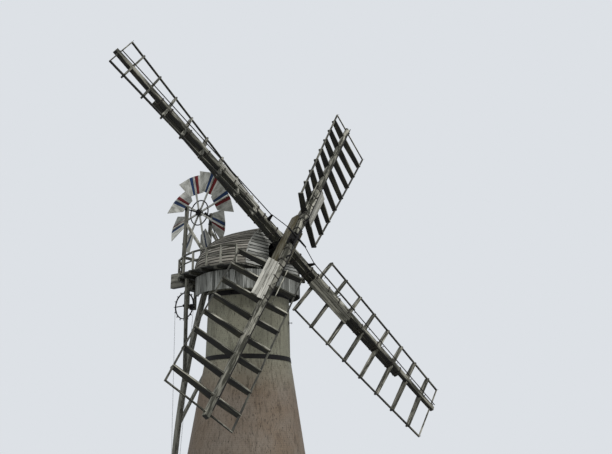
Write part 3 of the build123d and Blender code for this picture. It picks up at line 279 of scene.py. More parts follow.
def painted_underside_shade(tree):
    """Share of painted shade: 0 on faces that look up or sideways, 1 on the faces that look down."""
    normal = add_node(tree, "ShaderNodeTexCoord").outputs["Normal"]
    rise = add_node(tree, "ShaderNodeSeparateXYZ", {"Vector": normal}).outputs["Z"]
    return add_node(
        tree, "ShaderNodeMapRange", {"Value": rise, "From Min": -0.2, "From Max": -0.7},
    ).outputs["Result"]


def timber_material(name, pale, bare, mould, mould_share=0.5, lapped=False, grained=True):
    """Old sawn timber, its paint worn to grey wood, with streaks along the grain.

    Mould grows in patches. Faces that look down are darkened as painted shade, and on lapped boards the top
    of each exposed face is darkened as painted shade under the board above.
    """
    material, tree, shader = new_material(name, 0.85)
    if grained:
        place = add_node(tree, "ShaderNodeAttribute", attribute_name="grain").outputs["Vector"]
    else:
        place = add_node(tree, "ShaderNodeTexCoord").outputs["Object"]
    fibres = pattern(tree, place, FIBRES, 6.0, 0.7)
    streaks = pattern(tree, place, STREAKS, 4.0, 0.7)
    patches = pattern(tree, place, MOULD_PATCHES, 5.0, 0.65)
    tone = pattern(tree, place, TONE, 0.0, 0.6)
    wood = add_node(tree, "ShaderNodeValToRGB", {"Fac": fibres}, ((0.3, bare), (0.62, pale))).outputs["Color"]
    wood = stain_and_shade(tree, wood, 0.75, streaks, ((0.36, "4A493F"), (0.5, "FFFFFF")))
    wood = stain_and_shade(tree, wood, 0.8, tone, ((0.35, "8E8E8A"), (0.6, "FFFFFF")))
    worn = add_node(
        tree, "ShaderNodeValToRGB", {"Fac": patches},
        ((mould_share - 0.07, "FFFFFF"), (mould_share + 0.05, "000000")),
    )
    mouldy = add_node(tree, "ShaderNodeValToRGB", {"Fac": fibres}, ((0.25, "15150E"), (0.75, mould)))
    colour = add_node(
        tree, "ShaderNodeMix",
        {MIX_SHARE: worn.outputs["Color"], MIX_FIRST: wood, MIX_SECOND: mouldy.outputs["Color"]},
        data_type="RGBA",
    ).outputs[MIX_RESULT]
    # Painted shade: faces that look down are darkened towards 565544.
    colour = stain_and_shade(tree, colour, 1.0, painted_underside_shade(tree), ((0, "FFFFFF"), (1, "565544")))
    if lapped:
        lap = add_node(tree, "ShaderNodeAttribute", attribute_name="lap").outputs["Fac"]
        # Painted shade under the board above: the top of each exposed face darkens towards 1C1C17.
        colour = stain_and_shade(tree, colour, 1.0, lap, ((0.7, "FFFFFF"), (0.87, "1C1C17")))
    surface(tree, shader, colour, fibres, 0.35, 0.006)
    return material


# Pitch pine with old white lead paint, weathered to pale grey with green-black mould
painted_pine = timber_material("painted_pine", "BEBBAD", "6B685A", "2B2A1A", 0.535)
hem_pine = timber_material("hem_pine", "727062", "454339", "1A1911", 0.53)
heel_pine = timber_material("heel_board_pine", "B4B2A9", "8D8A80", "4A4A3A", 0.38)
# Darker copy of the heel boards' pine for sail C, whose heel boards face down: painted shade
shaded_heel_pine = timber_material("shaded_heel_board_pine", "79776B", "55534A", "2E2E1E", 0.46)
post_pine = timber_material("post_pine", "A3A196", "7C7A6F", "3A3A2B", 0.46)
# Pine of the hub's clamps, mottled by yellow lichen
lichen_pine = timber_material("lichened_pine", "8F8B79", "5F5843", "453B18", 0.54)
# Unpainted oak in two copies: the framing under the cap, painted darker as painted shade so that it is almost
# black in its shade, and the paler tail pole
shaded_framing_oak = timber_material("shaded_framing_oak", "77766A", "58564B", "22221A")
pole_oak = timber_material("pole_oak", "ABAA9F", "7E7C72", "3A392D", 0.42)
# Dark sheet of softwood behind the boards of the cap and its skirt, its darkness painted shade that shows
# between the boards
shade_behind_boards = timber_material("shade_behind_boards", "5B594F", "45433A", "22221A", grained=False)
# Softwood boards bleached grey by the weather
petticoat_boards = timber_material("bleached_boards", "A3A49F", "74756F", "3E3E36", 0.43)
deck_boards = timber_material("deck_boards", "8B8B82", "636259", "26261D")
# Lapped softwood boards of the cap, brown-grey, paler across its front
cap_boards = timber_material("cap_boards", "ADA89D", "787267", "443F36", 0.43, lapped=True)
gable_boards = timber_material("front_boards", "C6C6C0", "989790", "4B4A42", 0.4, lapped=True)
# Softwood under black tar, dull with age
door_boards = timber_material("tarred_boards", "26241F", "191814", "0E0E0B", 0.4)


def iron_material(name, paint, rust):
    """Cast and wrought iron under old black paint, rust breaking through in spots of a few cm."""
    material, tree, shader = new_material(name, 0.75, 0.2)
    place = add_node(tree, "ShaderNodeTexCoord").outputs["Object"]
    spots = pattern(tree, place, RUST_SPOTS, 6.0, 0.7)
    colour = add_node(tree, "ShaderNodeValToRGB", {"Fac": spots}, ((0.52, paint), (0.7, rust)))
    surface(tree, shader, colour.outputs["Color"], spots, 0.3, 0.004)
    return material


black_iron = iron_material("black_painted_iron", "0B0B0C", "241A13")
strap_iron = iron_material("rusted_strap_iron", "35332F", "45382C")
chain_iron = iron_material("galvanised_chain", "5A5C5C", "33302B")


def paint_material(name, colour_code, worn_code):
    """Gloss paint on boards, chalked by the weather, with fine scratches along the grain."""
    material, tree, shader = new_material(name, 0.7, 0.25)
    place = add_node(tree, "ShaderNodeAttribute", attribute_name="grain").outputs["Vector"]
    fibres = pattern(tree, place, PAINT_FIBRES, 6.0, 0.7)
    patches = pattern(tree, place, DIRT_PATCHES, 5.0, 0.65)
    colour = add_node(tree, "ShaderNodeValToRGB", {"Fac": fibres}, ((0.28, worn_code), (0.5, colour_code)))
    colour = stain_and_shade(tree, colour.outputs["Color"], 0.7, patches, ((0.34, "6E6C62"), (0.55, "FFFFFF")))
    surface(tree, shader, colour, fibres, 0.2, 0.003)
    return material


fan_white = paint_material("chalked_white_paint", "A9A9A2", "7C7C76")
fan_navy = paint_material("navy_paint", "0E2A50", "1C3350")
fan_red = paint_material("dark_red_paint", "5E0B0F", "471517")


def wall_material():
    """Lime and cement render over brick: faint courses, dark pits and streaks down the wall."""
    material, tree, shader = new_material("weathered_render", 0.92)
    place = add_node(tree, "ShaderNodeTexCoord").outputs["Object"]
    split = add_node(tree, "ShaderNodeSeparateXYZ", {"Vector": place}).outputs
    angle = add_node(tree, "ShaderNodeMath", {0: split["Y"], 1: split["X"]}, operation="ARCTAN2").outputs[0]
    girth = add_node(tree, "ShaderNodeMath", {0: angle, 1: WALL_RADIUS}, operation="MULTIPLY").outputs[0]
    wrapped = add_node(tree, "ShaderNodeCombineXYZ", {"X": girth, "Y": split["Z"]}).outputs["Vector"]
    bricks = add_node(
        tree, "ShaderNodeTexBrick",
        {"Vector": wrapped, "Scale": 1.0, "Mortar Size": MORTAR_JOINT, "Brick Width": BRICK_LENGTH,
         "Row Height": BRICK_COURSE, "Color1": linear("FFFFFF"), "Color2": linear("B9B9B9"),
         "Mortar": linear("707070")},
    ).outputs["Color"]
    streaks = pattern(tree, place, WALL_STREAKS, 6.0, 0.7)
    pits = pattern(tree, place, PITS, 3.0, 0.7)
    clouds = pattern(tree, place, CLOUDS, 4.0, 0.55)
    height = add_node(
        tree, "ShaderNodeMapRange",
        {"Value": split["Z"], "From Min": TOWER_BATTER_HEIGHT - STAIN_HEIGHT,
         "From Max": TOWER_BATTER_HEIGHT},
    ).outputs["Result"]
    low = add_node(tree, "ShaderNodeValToRGB", {"Fac": clouds}, ((0.3, "6B5C4C"), (0.7, "776D62")))
    high = add_node(tree, "ShaderNodeValToRGB", {"Fac": clouds}, ((0.3, "747161"), (0.7, "828171")))
    base = add_node(
        tree, "ShaderNodeMix",
        {MIX_SHARE: height, MIX_FIRST: low.outputs["Color"], MIX_SECOND: high.outputs["Color"]},
        data_type="RGBA",
    ).outputs[MIX_RESULT]
    base = add_node(
        tree, "ShaderNodeMix", {MIX_SHARE: 0.14, MIX_FIRST: base, MIX_SECOND: bricks},
        data_type="RGBA", blend_type="MULTIPLY",
    ).outputs[MIX_RESULT]
    base = stain_and_shade(tree, base, 0.7, streaks, ((0.28, "6F685B"), (0.5, "FFFFFF")))
    base = stain_and_shade(tree, base, 0.85, pits, ((0.335, "342C22"), (0.425, "FFFFFF")))
    tree.links.new(base, shader.inputs["Base Color"])
    fine = add_node(tree, "ShaderNodeBump", {"Height": pits, "Strength": 0.6, "Distance": 0.02})
    coarse = add_node(
        tree, "ShaderNodeBump",
        {"Height": bricks, "Strength": 0.25, "Distance": 0.008, "Normal": fine.outputs["Normal"]},
    )
    tree.links.new(coarse.outputs["Normal"], shader.inputs["Normal"])
    return material


weathered_render = wall_material()


def floor_material():
    """Worn brick pavers, reddish brown, bedded in dirt."""
    material, tree, shader = new_material("brick_pavers", 0.9)
    place = add_node(tree, "ShaderNodeTexCoord").outputs["Object"]
    bricks = add_node(
        tree, "ShaderNodeTexBrick",
        {"Vector": place, "Scale": 1.0, "Mortar Size": MORTAR_JOINT, "Brick Width": BRICK_LENGTH,
         "Row Height": PAVER_WIDTH, "Color1": linear("7A5B4A"), "Color2": linear("63493C"),
         "Mortar": linear("4A443C")},
    )
    tree.links.new(bricks.outputs["Color"], shader.inputs["Base Color"])
    return material


brick_pavers = floor_material()


# Modelling

# Washer and nut in shares of the nut's size
WASHER_THICKNESS = 0.25
WASHER_RADIUS = 0.85
NUT_TOP = 0.85
NUT_RADIUS = 0.55
# The round edge of a rod's ends, in shares of its radius
ROD_EDGE = 0.12
# Limits by which a copy of a CAD node is merged into faces and its arrises are found
MERGE_DISTANCE = 0.0001
FLAT_ANGLE = radians(1)
SHARP_ANGLE = radians(40)


def upward(height):
    return Vector((0, 0, height))


def deselect():
    bpy.ops.object.select_all(action="DESELECT")


def edit_all():
    bpy.ops.object.mode_set(mode="EDIT")
    bpy.ops.mesh.select_all(action="SELECT")


def close_edit():
    bpy.ops.object.mode_set(mode="OBJECT")


def new_piece(name):
    piece = bpy.context.object
    piece.name = piece.data.name = name
    return piece


def random_offset():
    return Vector((random.uniform(0, 50), random.uniform(0, 50), random.uniform(0, 50)))


def mark_grain(piece, axis=None):
    """Stores where each vertex lies along and across its board, which the grain patterns follow."""
    offset = random_offset()
    layer = piece.data.attributes.get("grain") or piece.data.attributes.new("grain", "FLOAT_VECTOR", "POINT")
    turn = {"X": Matrix.Rotation(pi / 2, 3, "Y"), "Y": Matrix.Rotation(pi / 2, 3, "X")}.get(axis)
    for item, vertex in zip(layer.data, piece.data.vertices):
        item.vector = (turn @ vertex.co if turn else vertex.co) + offset


def frame_matrix(start, run, side):
    """Matrix whose Z runs along a timber and whose X lies along its side."""
    z = run.normalized()
    x = (Vector(side) - Vector(side).dot(z) * z).normalized()
    matrix = Matrix((x, z.cross(x), z)).transposed().to_4x4()
    matrix.translation = start
    return matrix


def timber(name, start, end, side, sections, arris=TIMBER_ARRIS):
    """Squared timber through (share of length, width, depth, shift of depth) sections, its arrises worn."""
    start, end = Vector(start), Vector(end)
    run = end - start
    deselect()
    bpy.ops.mesh.primitive_plane_add(size=1)
    piece = new_piece(name)
    share, width, depth, shift = sections[0]
    for vertex in piece.data.vertices:
        vertex.co = Vector((vertex.co.x * width, vertex.co.y * depth + shift, share * run.length))
    edit_all()
    for (share, width, depth, shift), following in zip(sections, sections[1:]):
        next_share, next_width, next_depth, next_shift = following
        bpy.ops.mesh.extrude_region_move(
            TRANSFORM_OT_translate={"value": (0, next_shift - shift, (next_share - share) * run.length)}
        )
        if (width, depth) != (next_width, next_depth):
            bpy.ops.transform.resize(
                value=(next_width / width, next_depth / depth, 1),
                center_override=(0, next_shift, next_share * run.length),
            )
    bpy.ops.mesh.select_all(action="SELECT")
    bpy.ops.mesh.normals_make_consistent(inside=False)
    bpy.ops.mesh.bevel(offset=arris, segments=1, affect="EDGES")
    close_edit()
    mark_grain(piece)
    piece.data.transform(frame_matrix(start, run, side))
    return piece


def plain(width, depth, shift=0.0):
    return ((0, width, depth, shift), (1, width, depth, shift))


def rod(name, start, end, radius, vertices=12):
    """Round bar between two points, its end edges eased."""
    start, end = Vector(start), Vector(end)
    run = end - start
    deselect()
    bpy.ops.mesh.primitive_cylinder_add(vertices=vertices, radius=radius, depth=run.length)
    piece = new_piece(name)
    edit_all()
    bpy.ops.mesh.bevel(offset=radius * ROD_EDGE, segments=1, affect="EDGES")
    close_edit()
    side = (1, 0, 0) if abs(run.normalized().x) < 0.9 else (0, 1, 0)
    mark_grain(piece)
    piece.data.transform(frame_matrix((start + end) / 2, run, side))
    return piece


def nut(place, direction, size):
    """Hexagon nut on its washer, standing out along a direction."""
    place, direction = Vector(place), Vector(direction).normalized()
    seat = place + direction * size * WASHER_THICKNESS
    washer = rod("washer", place, seat, size * WASHER_RADIUS)
    head = rod("nut", seat, place + direction * size * NUT_TOP, size * NUT_RADIUS, 6)
    return [washer, head]


def copy_piece(source, name, matrix):
    piece = source.copy()
    piece.data = source.data.copy()
    piece.name = piece.data.name = name
    bpy.context.collection.objects.link(piece)
    piece.data.transform(matrix)
    return piece


def shift_grain(piece):
    """Another part of the tree for a copy, so that no two copies share a pattern."""
    offset = random_offset()
    for item in piece.data.attributes["grain"].data:
        item.vector = Vector(item.vector) + offset


def thicken(piece, thickness, offset):
    bpy.ops.object.modifier_add(type="SOLIDIFY")
    solidify = piece.modifiers[0]
    solidify.thickness = thickness
    solidify.offset = offset
    bpy.ops.object.modifier_apply(modifier=solidify.name)


def join(name, pieces):
    deselect()
    for piece in pieces:
        piece.select_set(True)
    bpy.context.view_layer.objects.active = pieces[0]
    if len(pieces) > 1:
        bpy.ops.object.join()
    return new_piece(name)


def finish_piece(piece, body, slot, material, *nodes):
    """Gives a finished piece its material and its body, and hides the nodes that it stands for."""
    if material is not None:
        piece.data.materials.clear()
        piece.data.materials.append(material)
    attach(piece, body)
    if nodes:
        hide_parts(*nodes)


def assemble(name, parts, body, slot, material, *nodes):
    finish_piece(join(name, parts), body, slot, material, *nodes)


def dress(material, *nodes):
    """Gives CAD nodes a material."""
    for node in nodes:
        mesh = frame["nodes"][node].data
        mesh.materials.clear()
        mesh.materials.append(material)


def node_copy(node, name):
    """Copy of a CAD node's mesh with its loose triangles merged into faces."""
    source = frame["nodes"][node]
    piece = source.copy()
    piece.data = source.data.copy()
    piece.parent = None
    piece.matrix_world = Matrix.Identity(4)
    piece.name = piece.data.name = name
    bpy.context.collection.objects.link(piece)
    deselect()
    piece.select_set(True)
    bpy.context.view_layer.objects.active = piece
    edit_all()
    bpy.ops.mesh.remove_doubles(threshold=MERGE_DISTANCE)
    bpy.ops.mesh.dissolve_limited(angle_limit=FLAT_ANGLE)
    close_edit()
    return piece


def eased_copy(node, body, slot, material, axis, arris=TIMBER_ARRIS):
    """Stands for a CAD node: the same timbers with worn arrises, each with its own grain."""
    node_copy(node, node + "_eased")
    bpy.ops.object.mode_set(mode="EDIT")
    bpy.ops.mesh.select_all(action="DESELECT")
    bpy.ops.mesh.select_mode(type="EDGE")
    bpy.ops.mesh.edges_select_sharp(sharpness=SHARP_ANGLE)
    bpy.ops.mesh.bevel(offset=arris, segments=1, affect="EDGES")
    bpy.ops.mesh.select_mode(type="VERT")
    bpy.ops.mesh.select_all(action="SELECT")
    bpy.ops.mesh.separate(type="LOOSE")
    close_edit()
    parts = list(bpy.context.selected_objects)
    for part in parts:
        mark_grain(part, axis)
    assemble(node + "_eased", parts, body, slot, material, node)


# Tower

walls = ["lower_wall_%d" % number for number in range(1, 6)]
walls += ["upper_wall_%d" % number for number in range(1, 5)]
dress(weathered_render, "wall_over_door", *walls)
dress(brick_pavers, "ground_floor")
dress(black_iron, "iron_bands", "bearings", "windshaft", "spider", "bell_cranks", "shutter_bars")
dress(black_iron, "chain_wheel", "drive_shaft", "fan_wheel")
dress(strap_iron, "sail_straps")
# The shells behind the boards are darkened as painted shade
dress(shade_behind_boards, "near_roof", "far_roof", "near_petticoat", "far_petticoat", "front_gable", "tail_board")
# The curb and the cap ring take the darker oak, its colour painted shade
eased_copy("curb", "tower", "bare_timber", shaded_framing_oak, "X", POST_ARRIS)
eased_copy("cap_ring", "cap", "bare_timber", shaded_framing_oak, "X", POST_ARRIS)
eased_copy("door_frame", "tower", "painted_timber", post_pine, None)

# Bracket left on the wall: a plate, an arm and the hook at its end

BRACKET = Vector((0.837, -1.593, 7.76))
BRACKET_FOOT = 1.72
BRACKET_REACH = 0.17
BRACKET_ARM_RADIUS = 0.014
PLATE_HEIGHT = 0.18
PLATE_WIDTH = 0.07
PLATE_THICKNESS = 0.012
HOOK_PLACE = 0.16
HOOK_DROP = 0.05
HOOK_RISE = 0.03
HOOK_RADIUS = 0.011

out = Vector((BRACKET.x, BRACKET.y, 0)).normalized()
across = Vector((-out.y, out.x, 0))
foot = out * BRACKET_FOOT + upward(BRACKET.z)
hook = foot + out * HOOK_PLACE
half_plate = upward(PLATE_HEIGHT / 2)
plate_section = plain(PLATE_WIDTH, PLATE_THICKNESS, -PLATE_THICKNESS)
bracket_parts = [
    rod("bracket_arm", foot, foot + out * BRACKET_REACH, BRACKET_ARM_RADIUS),
    timber("bracket_plate", foot - half_plate, foot + half_plate, across, plate_section, IRON_EDGE),
    rod("bracket_hook", hook - upward(HOOK_DROP), hook + upward(HOOK_RISE), HOOK_RADIUS),
]
assemble("wall_bracket", bracket_parts, "tower", "black_iron", black_iron)

# Joints of the iron bands: two lugs and two bolts at each end of a diameter

# Level and radius of each band
BAND_PLACES = ((6.24, 1.795), (8.84, 1.723))
BAND_JOINTS = (radians(20), radians(200))
LUG_SPREAD = 0.03
LUG_RISE = 0.08
LUG_THICKNESS = 0.014
LUG_DEPTH = 0.06
BAND_BOLT_RISE = 0.045
BAND_BOLT_REACH = 0.065
BAND_BOLT_RADIUS = 0.01

band_parts = []
for level, radius in BAND_PLACES:
    for turn in BAND_JOINTS:
        out = Vector((cos(turn), sin(turn), 0))
        along = Vector((-out.y, out.x, 0))
        for way in (-1, 1):
            lug = out * radius + along * way * LUG_SPREAD + upward(level)
            ends = (lug - upward(LUG_RISE), lug + upward(LUG_RISE))
            band_parts.append(timber("band_lug", *ends, along, plain(LUG_THICKNESS, LUG_DEPTH), IRON_EDGE))
        for rise in (-BAND_BOLT_RISE, BAND_BOLT_RISE):
            middle = out * radius + upward(level + rise)
            reach = along * BAND_BOLT_REACH
            band_parts.append(rod("band_bolt", middle - reach, middle + reach, BAND_BOLT_RADIUS, 8))
assemble("band_lugs", band_parts, "tower", "black_iron", black_iron)

# Ledged door of upright boards, with two strap hinges

DOOR_BOARDS = 5
DOOR_BOARD_THICKNESS = 0.03
DOOR_BOARD_GAP = 0.003
DOOR_BOARD_BEHIND = 0.0225
LEDGE_SHARES = (0.15, 0.5, 0.85)
LEDGE_WIDTH = 0.12
LEDGE_INSET = 0.02
HINGE_INSET = 0.01
HINGE_REACH = 0.52
HINGE_BEHIND = 0.005
HINGE_SECTIONS = ((0, 0.05, 0.008, 0), (1, 0.03, 0.008, 0))
HINGE_NUT_PLACES = (0.08, 0.24, 0.4)
HINGE_NUT_BEHIND = 0.001

door_width, door_height = DOOR_HIGH.y - DOOR_LOW.y, DOOR_HIGH.z - DOOR_LOW.z
board_width = door_width / DOOR_BOARDS
door_parts = []
for number in range(DOOR_BOARDS):
    y = DOOR_LOW.y + (number + 0.5) * board_width
    start, end = (Vector((DOOR_HIGH.x - DOOR_BOARD_BEHIND, y, z)) for z in (DOOR_LOW.z, DOOR_HIGH.z))
    section = plain(board_width - DOOR_BOARD_GAP, DOOR_BOARD_THICKNESS)
    door_parts.append(timber("door_board", start, end, (0, 1, 0), section, BOARD_ARRIS))
for share in LEDGE_SHARES:
    start, end = (
        Vector((DOOR_LOW.x + LEDGE_INSET, y, DOOR_LOW.z + share * door_height))
        for y in (DOOR_LOW.y + LEDGE_INSET, DOOR_HIGH.y - LEDGE_INSET)
    )
    section = plain(LEDGE_WIDTH, DOOR_BOARD_THICKNESS)
    door_parts.append(timber("door_ledge", start, end, (0, 0, 1), section, LATH_ARRIS))
assemble("door_leaf", door_parts, "tower", "door_boards", door_boards, "door")
hinges = []
for share in (LEDGE_SHARES[0], LEDGE_SHARES[-1]):
    z = DOOR_LOW.z + share * door_height
    start, end = ((DOOR_HIGH.x - HINGE_BEHIND, DOOR_LOW.y + reach, z) for reach in (HINGE_INSET, HINGE_REACH))
    hinges.append(timber("hinge", start, end, (0, 0, 1), HINGE_SECTIONS, IRON_EDGE))
    for reach in HINGE_NUT_PLACES:
        hinges += nut((DOOR_HIGH.x - HINGE_NUT_BEHIND, DOOR_LOW.y + reach, z), (1, 0, 0), HINGE_NUT)
assemble("door_hinges", hinges, "tower", "black_iron", black_iron)


# Cap boards: lapped strakes from the eaves to the ridge, over the boat-shaped shell

STRAKES = 22
STATIONS = 28
STATION_SPREAD = 1.1
STRAKE_WIDTH = 0.16
STRAKE_THICKNESS = 0.02
STRAKE_WANDER = 0.003
STRAKE_PROUD = 0.028
STRAKE_SLOPE = 0.024
STRAKE_OVERHANG = 0.012
LAP = 0.2


def cap_half_width(place):
    length = CAP_NOSE if place < 0 else CAP_TAIL
    return CAP_HALF_WIDTH * sqrt(max(0.0, 1 - (place / length) ** 2))


def cap_rise(place):
    if place <= 0:
        return CAP_HEIGHT
    return CAP_HEIGHT * (1 - (place / CAP_TAIL) ** TAIL_ROUNDNESS) ** (1 / TAIL_ROUNDNESS)


def cap_point(place, share, side, proud):
    """Point on the cap: share runs from the eaves to the ridge, proud is off the shell."""
    turn = share * pi / 2
    wide, high = cap_half_width(place), cap_rise(place)
    outward = Vector((high * cos(turn), 0, wide * sin(turn))).normalized()
    x, z = wide * cos(turn) + outward.x * proud, high * sin(turn) + outward.z * proud
    return Vector((side * x, place, SHEER_TOP + z))


def board_layers(board):
    """Values that a lapped board's material reads: its grain, and how far up its exposed face, from which the
    material paints the shade under the board above.
    """
    board.data.attributes.new("grain", "FLOAT_VECTOR", "POINT")
    board.data.attributes.new("lap", "FLOAT", "POINT")
    return board.data.attributes["grain"].data, board.data.attributes["lap"].data


def cap_strakes(side):
    """The boards of one side of the cap; each strake laps over the one below it."""
    boards = []
    front = GABLE_LOW.y - STRAKE_OVERHANG
    for strake in range(STRAKES):
        deselect()
        bpy.ops.mesh.primitive_grid_add(x_subdivisions=STATIONS, y_subdivisions=4, size=2)
        board = new_piece("strake")
        offset = random_offset()
        grain, lap = board_layers(board)
        wander = random.uniform(-STRAKE_WANDER, STRAKE_WANDER)
        for vertex, grain_item, lap_item in zip(board.data.vertices, grain, lap):
            across, along = (vertex.co.y + 1) / 2, (vertex.co.x + 1) / 2
            place = front + (CAP_TAIL_BOARD - front) * sin(along * pi / 2) ** STATION_SPREAD
            share = min(1.0, (strake + across * (1 + LAP)) / STRAKES)
            vertex.co = cap_point(place, share, side, STRAKE_PROUD + wander - STRAKE_SLOPE * across)
            grain_item.vector = Vector((across * STRAKE_WIDTH, 0, place)) + offset
            lap_item.value = across * (1 + LAP)
        thicken(board, STRAKE_THICKNESS, -side)
        edit_all()
        bpy.ops.mesh.normals_make_consistent(inside=False)
        close_edit()
        boards.append(board)
    return boards


for side, label in ((-1, "near"), (1, "far")):
    assemble(label + "_cap_boards", cap_strakes(side), "cap", "roof_boards", cap_boards)


# Front boards: lapped, cut from the shape of the gable itself

FRONT_BOARDS = 13
FRONT_PROUD = 0.024
FRONT_SLOPE = 0.018
FRONT_THICKNESS = 0.02
# Cuts across a board in shares of its exposed face; the last one clears what lies above it
FRONT_CUTS = ((0.75, False), (0.9, False), (1 + LAP, True))


def front_strakes():
    step = (GABLE_HIGH.z - GABLE_LOW.z) / FRONT_BOARDS
    boards = []
    for number in range(FRONT_BOARDS):
        board = node_copy("front_gable", "front_board")
        bottom = GABLE_LOW.z + number * step
        edit_all()
        bpy.ops.mesh.bisect(plane_co=(0, 0, bottom), plane_no=(0, 0, 1), use_fill=True, clear_inner=True)
        for cut, clears in FRONT_CUTS:
            bpy.ops.mesh.select_all(action="SELECT")
            bpy.ops.mesh.bisect(
                plane_co=(0, 0, bottom + step * cut), plane_no=(0, 0, 1), use_fill=clears, clear_outer=clears,
            )
        close_edit()
        offset = random_offset()
        grain, lap = board_layers(board)
        for vertex, grain_item, lap_item in zip(board.data.vertices, grain, lap):
            grain_item.vector = Vector((vertex.co.y, vertex.co.z, vertex.co.x)) + offset
            share = (vertex.co.z - bottom) / step
            lap_item.value = share
            depth = (vertex.co.y - GABLE_LOW.y) / (GABLE_HIGH.y - GABLE_LOW.y)
            vertex.co.y = GABLE_LOW.y - FRONT_PROUD + FRONT_SLOPE * share + depth * FRONT_THICKNESS
        boards.append(board)
    return boards


assemble("front_lapped_boards", front_strakes(), "cap", "grey_boards", gable_boards)

# Corner battens where the side boards meet the front boards

CORNER_STEPS = 14
CORNER_PROUD = 0.026
CORNER_SECTION = plain(0.055, 0.022)

corner_parts = []
for side in (-1, 1):
    corners = [
        cap_point(GABLE_LOW.y, step / CORNER_STEPS, side, CORNER_PROUD) for step in range(CORNER_STEPS + 1)
    ]
    for ends in zip(corners, corners[1:]):
        corner_parts.append(timber("corner_batten", *ends, (0, 1, 0), CORNER_SECTION, LATH_ARRIS))
assemble("corner_battens", corner_parts, "cap", "grey_boards", gable_boards)


# Petticoat: upright boards nailed round the ring, flat in front and short behind the pole

SKIRT_BOARD = 0.14
SKIRT_BOARD_THICKNESS = 0.022
SKIRT_BOARD_GAP = 0.009
SKIRT_BITE = 0.006
SKIRT_WANDER = 0.004
SKIRT_RAGGED = 0.008
SKIRT_REAR_MARGIN = 0.01
FLANK_BEND = radians(21.8)


def ring_points(start, end):
    """Points about a board's width apart along the petticoat's ring, between two angles."""
    count = round((end - start) * PETTICOAT_RADIUS / SKIRT_BOARD)
    turns = [start + (end - start) * step / count for step in range(count + 1)]
    return [PETTICOAT_RADIUS * Vector((cos(turn), sin(turn), 0)) for turn in turns]


def skirt_corners(side):
    """Corners of the skirt's plan: flat front, round to the flank, straight back, and a round rear."""
    ring = ring_points(-asin(PETTICOAT_FRONT / PETTICOAT_RADIUS), FLANK_BEND)
    flank = (PETTICOAT_REAR - ring[-1].y) / cos(FLANK_BEND)
    flank_end = ring[-1] + flank * Vector((-sin(FLANK_BEND), cos(FLANK_BEND), 0))
    rear = ring_points(asin(PETTICOAT_REAR / PETTICOAT_RADIUS), pi / 2)
    corners = [Vector((0, -PETTICOAT_FRONT, 0))] + ring + [flank_end, rear[0]]
    return [[Vector((side * point.x, point.y, 0)) for point in line] for line in (corners, rear)]


def skirt_places(side):
    """Middle and outward direction of each board, about a board's width apart."""
    for line in skirt_corners(side):
        for start, end in zip(line, line[1:]):
            along = end - start
            out = along.cross(Vector((0, 0, side))).normalized()
            count = max(1, round(along.length / SKIRT_BOARD))
            for number in range(count):
                yield start + along * (number + 0.5) / count, out, along.length / count


def petticoat(side):
    boards = []
    for place, out, width in skirt_places(side):
        bottom = PETTICOAT_BOTTOM if place.y < PETTICOAT_REAR + SKIRT_REAR_MARGIN else REAR_SKIRT_BOTTOM
        place += out * (SKIRT_BOARD_THICKNESS / 2 - SKIRT_BITE + random.uniform(0, SKIRT_WANDER))
        foot = place + upward(bottom - random.uniform(0, SKIRT_RAGGED))
        head = place + upward(PETTICOAT_TOP)
        across = out.cross(Vector((0, 0, 1)))
        section = plain(width - SKIRT_BOARD_GAP, SKIRT_BOARD_THICKNESS)
        boards.append(timber("skirt_board", foot, head, across, section, LATH_ARRIS))
    return boards


for side, label in ((-1, "near"), (1, "far")):
    assemble(label + "_petticoat_boards", petticoat(side), "cap", "grey_boards", petticoat_boards)


# Gallery: planks laid fore and aft, posts and two rails

PLANK_WIDTH = 0.143
PLANK_GAP = 0.006
PLANK_THICKNESS = 0.04
DECK_EDGE = 0.01
RAIL_END_INSET = 0.02


def deck_span(x):
    """Where the gallery starts and ends along Y, at a distance from the centre line."""
    share = sqrt(max(0.0, 1 - (x / DECK_SIDE) ** 2))
    return max(DECK_FRONT, -DECK_SIDE * share), DECK_REAR * share


planks = []
for side in (-1, 1):
    for number in range(int((DECK_SIDE - SHEER_OUTSIDE) / PLANK_WIDTH)):
        x = SHEER_OUTSIDE + (number + 0.5) * PLANK_WIDTH
        span = deck_span(min(x + PLANK_WIDTH / 2, DECK_SIDE - DECK_EDGE))
        ends = [(side * x, y, (DECK_TOP + DECK_UNDERSIDE) / 2) for y in span]
        section = plain(PLANK_WIDTH - PLANK_GAP, PLANK_THICKNESS)
        planks.append(timber("plank", *ends, (1, 0, 0), section, BOARD_ARRIS))
assemble("gallery_planks", planks, "cap", "grey_boards", deck_boards, "gallery_deck")


def rail_reach(place):
    """Half width of the rail's centre line at a distance along Y."""
    side, rear = DECK_SIDE - RAIL_INSET, DECK_REAR - RAIL_INSET
    return side * sqrt(1 - (place / (side if place < 0 else rear)) ** 2)


rail_parts = []
for side in (-1, 1):
    for place in RAIL_POST_PLACES:
        foot = Vector((side * rail_reach(place), place, DECK_TOP))
        head = foot + upward(RAIL_TOP - DECK_TOP)
        section = plain(RAIL_POST_SIZE, RAIL_POST_SIZE)
        rail_parts.append(timber("rail_post", foot, head, (1, 0, 0), section, POST_ARRIS))
    for level, size, last_x in (
        (RAIL_TOP - TOP_RAIL_SIZE / 2, TOP_RAIL_SIZE, POST_OUTSIDE),
        (DECK_TOP + MID_RAIL, MID_RAIL_SIZE, SHEER_OUTSIDE),
    ):
        line = [Vector((side * rail_reach(place), place, level)) for place in RAIL_POST_PLACES]
        line.append(Vector((side * last_x, POST_FOOT - RAIL_END_INSET, level)))
        for ends in zip(line, line[1:]):
            rail_parts.append(timber("rail", *ends, (0, 0, 1), plain(size, size), RAIL_ARRIS))
assemble("gallery_rails", rail_parts, "cap", "painted_timber", post_pine, "gallery_rail")
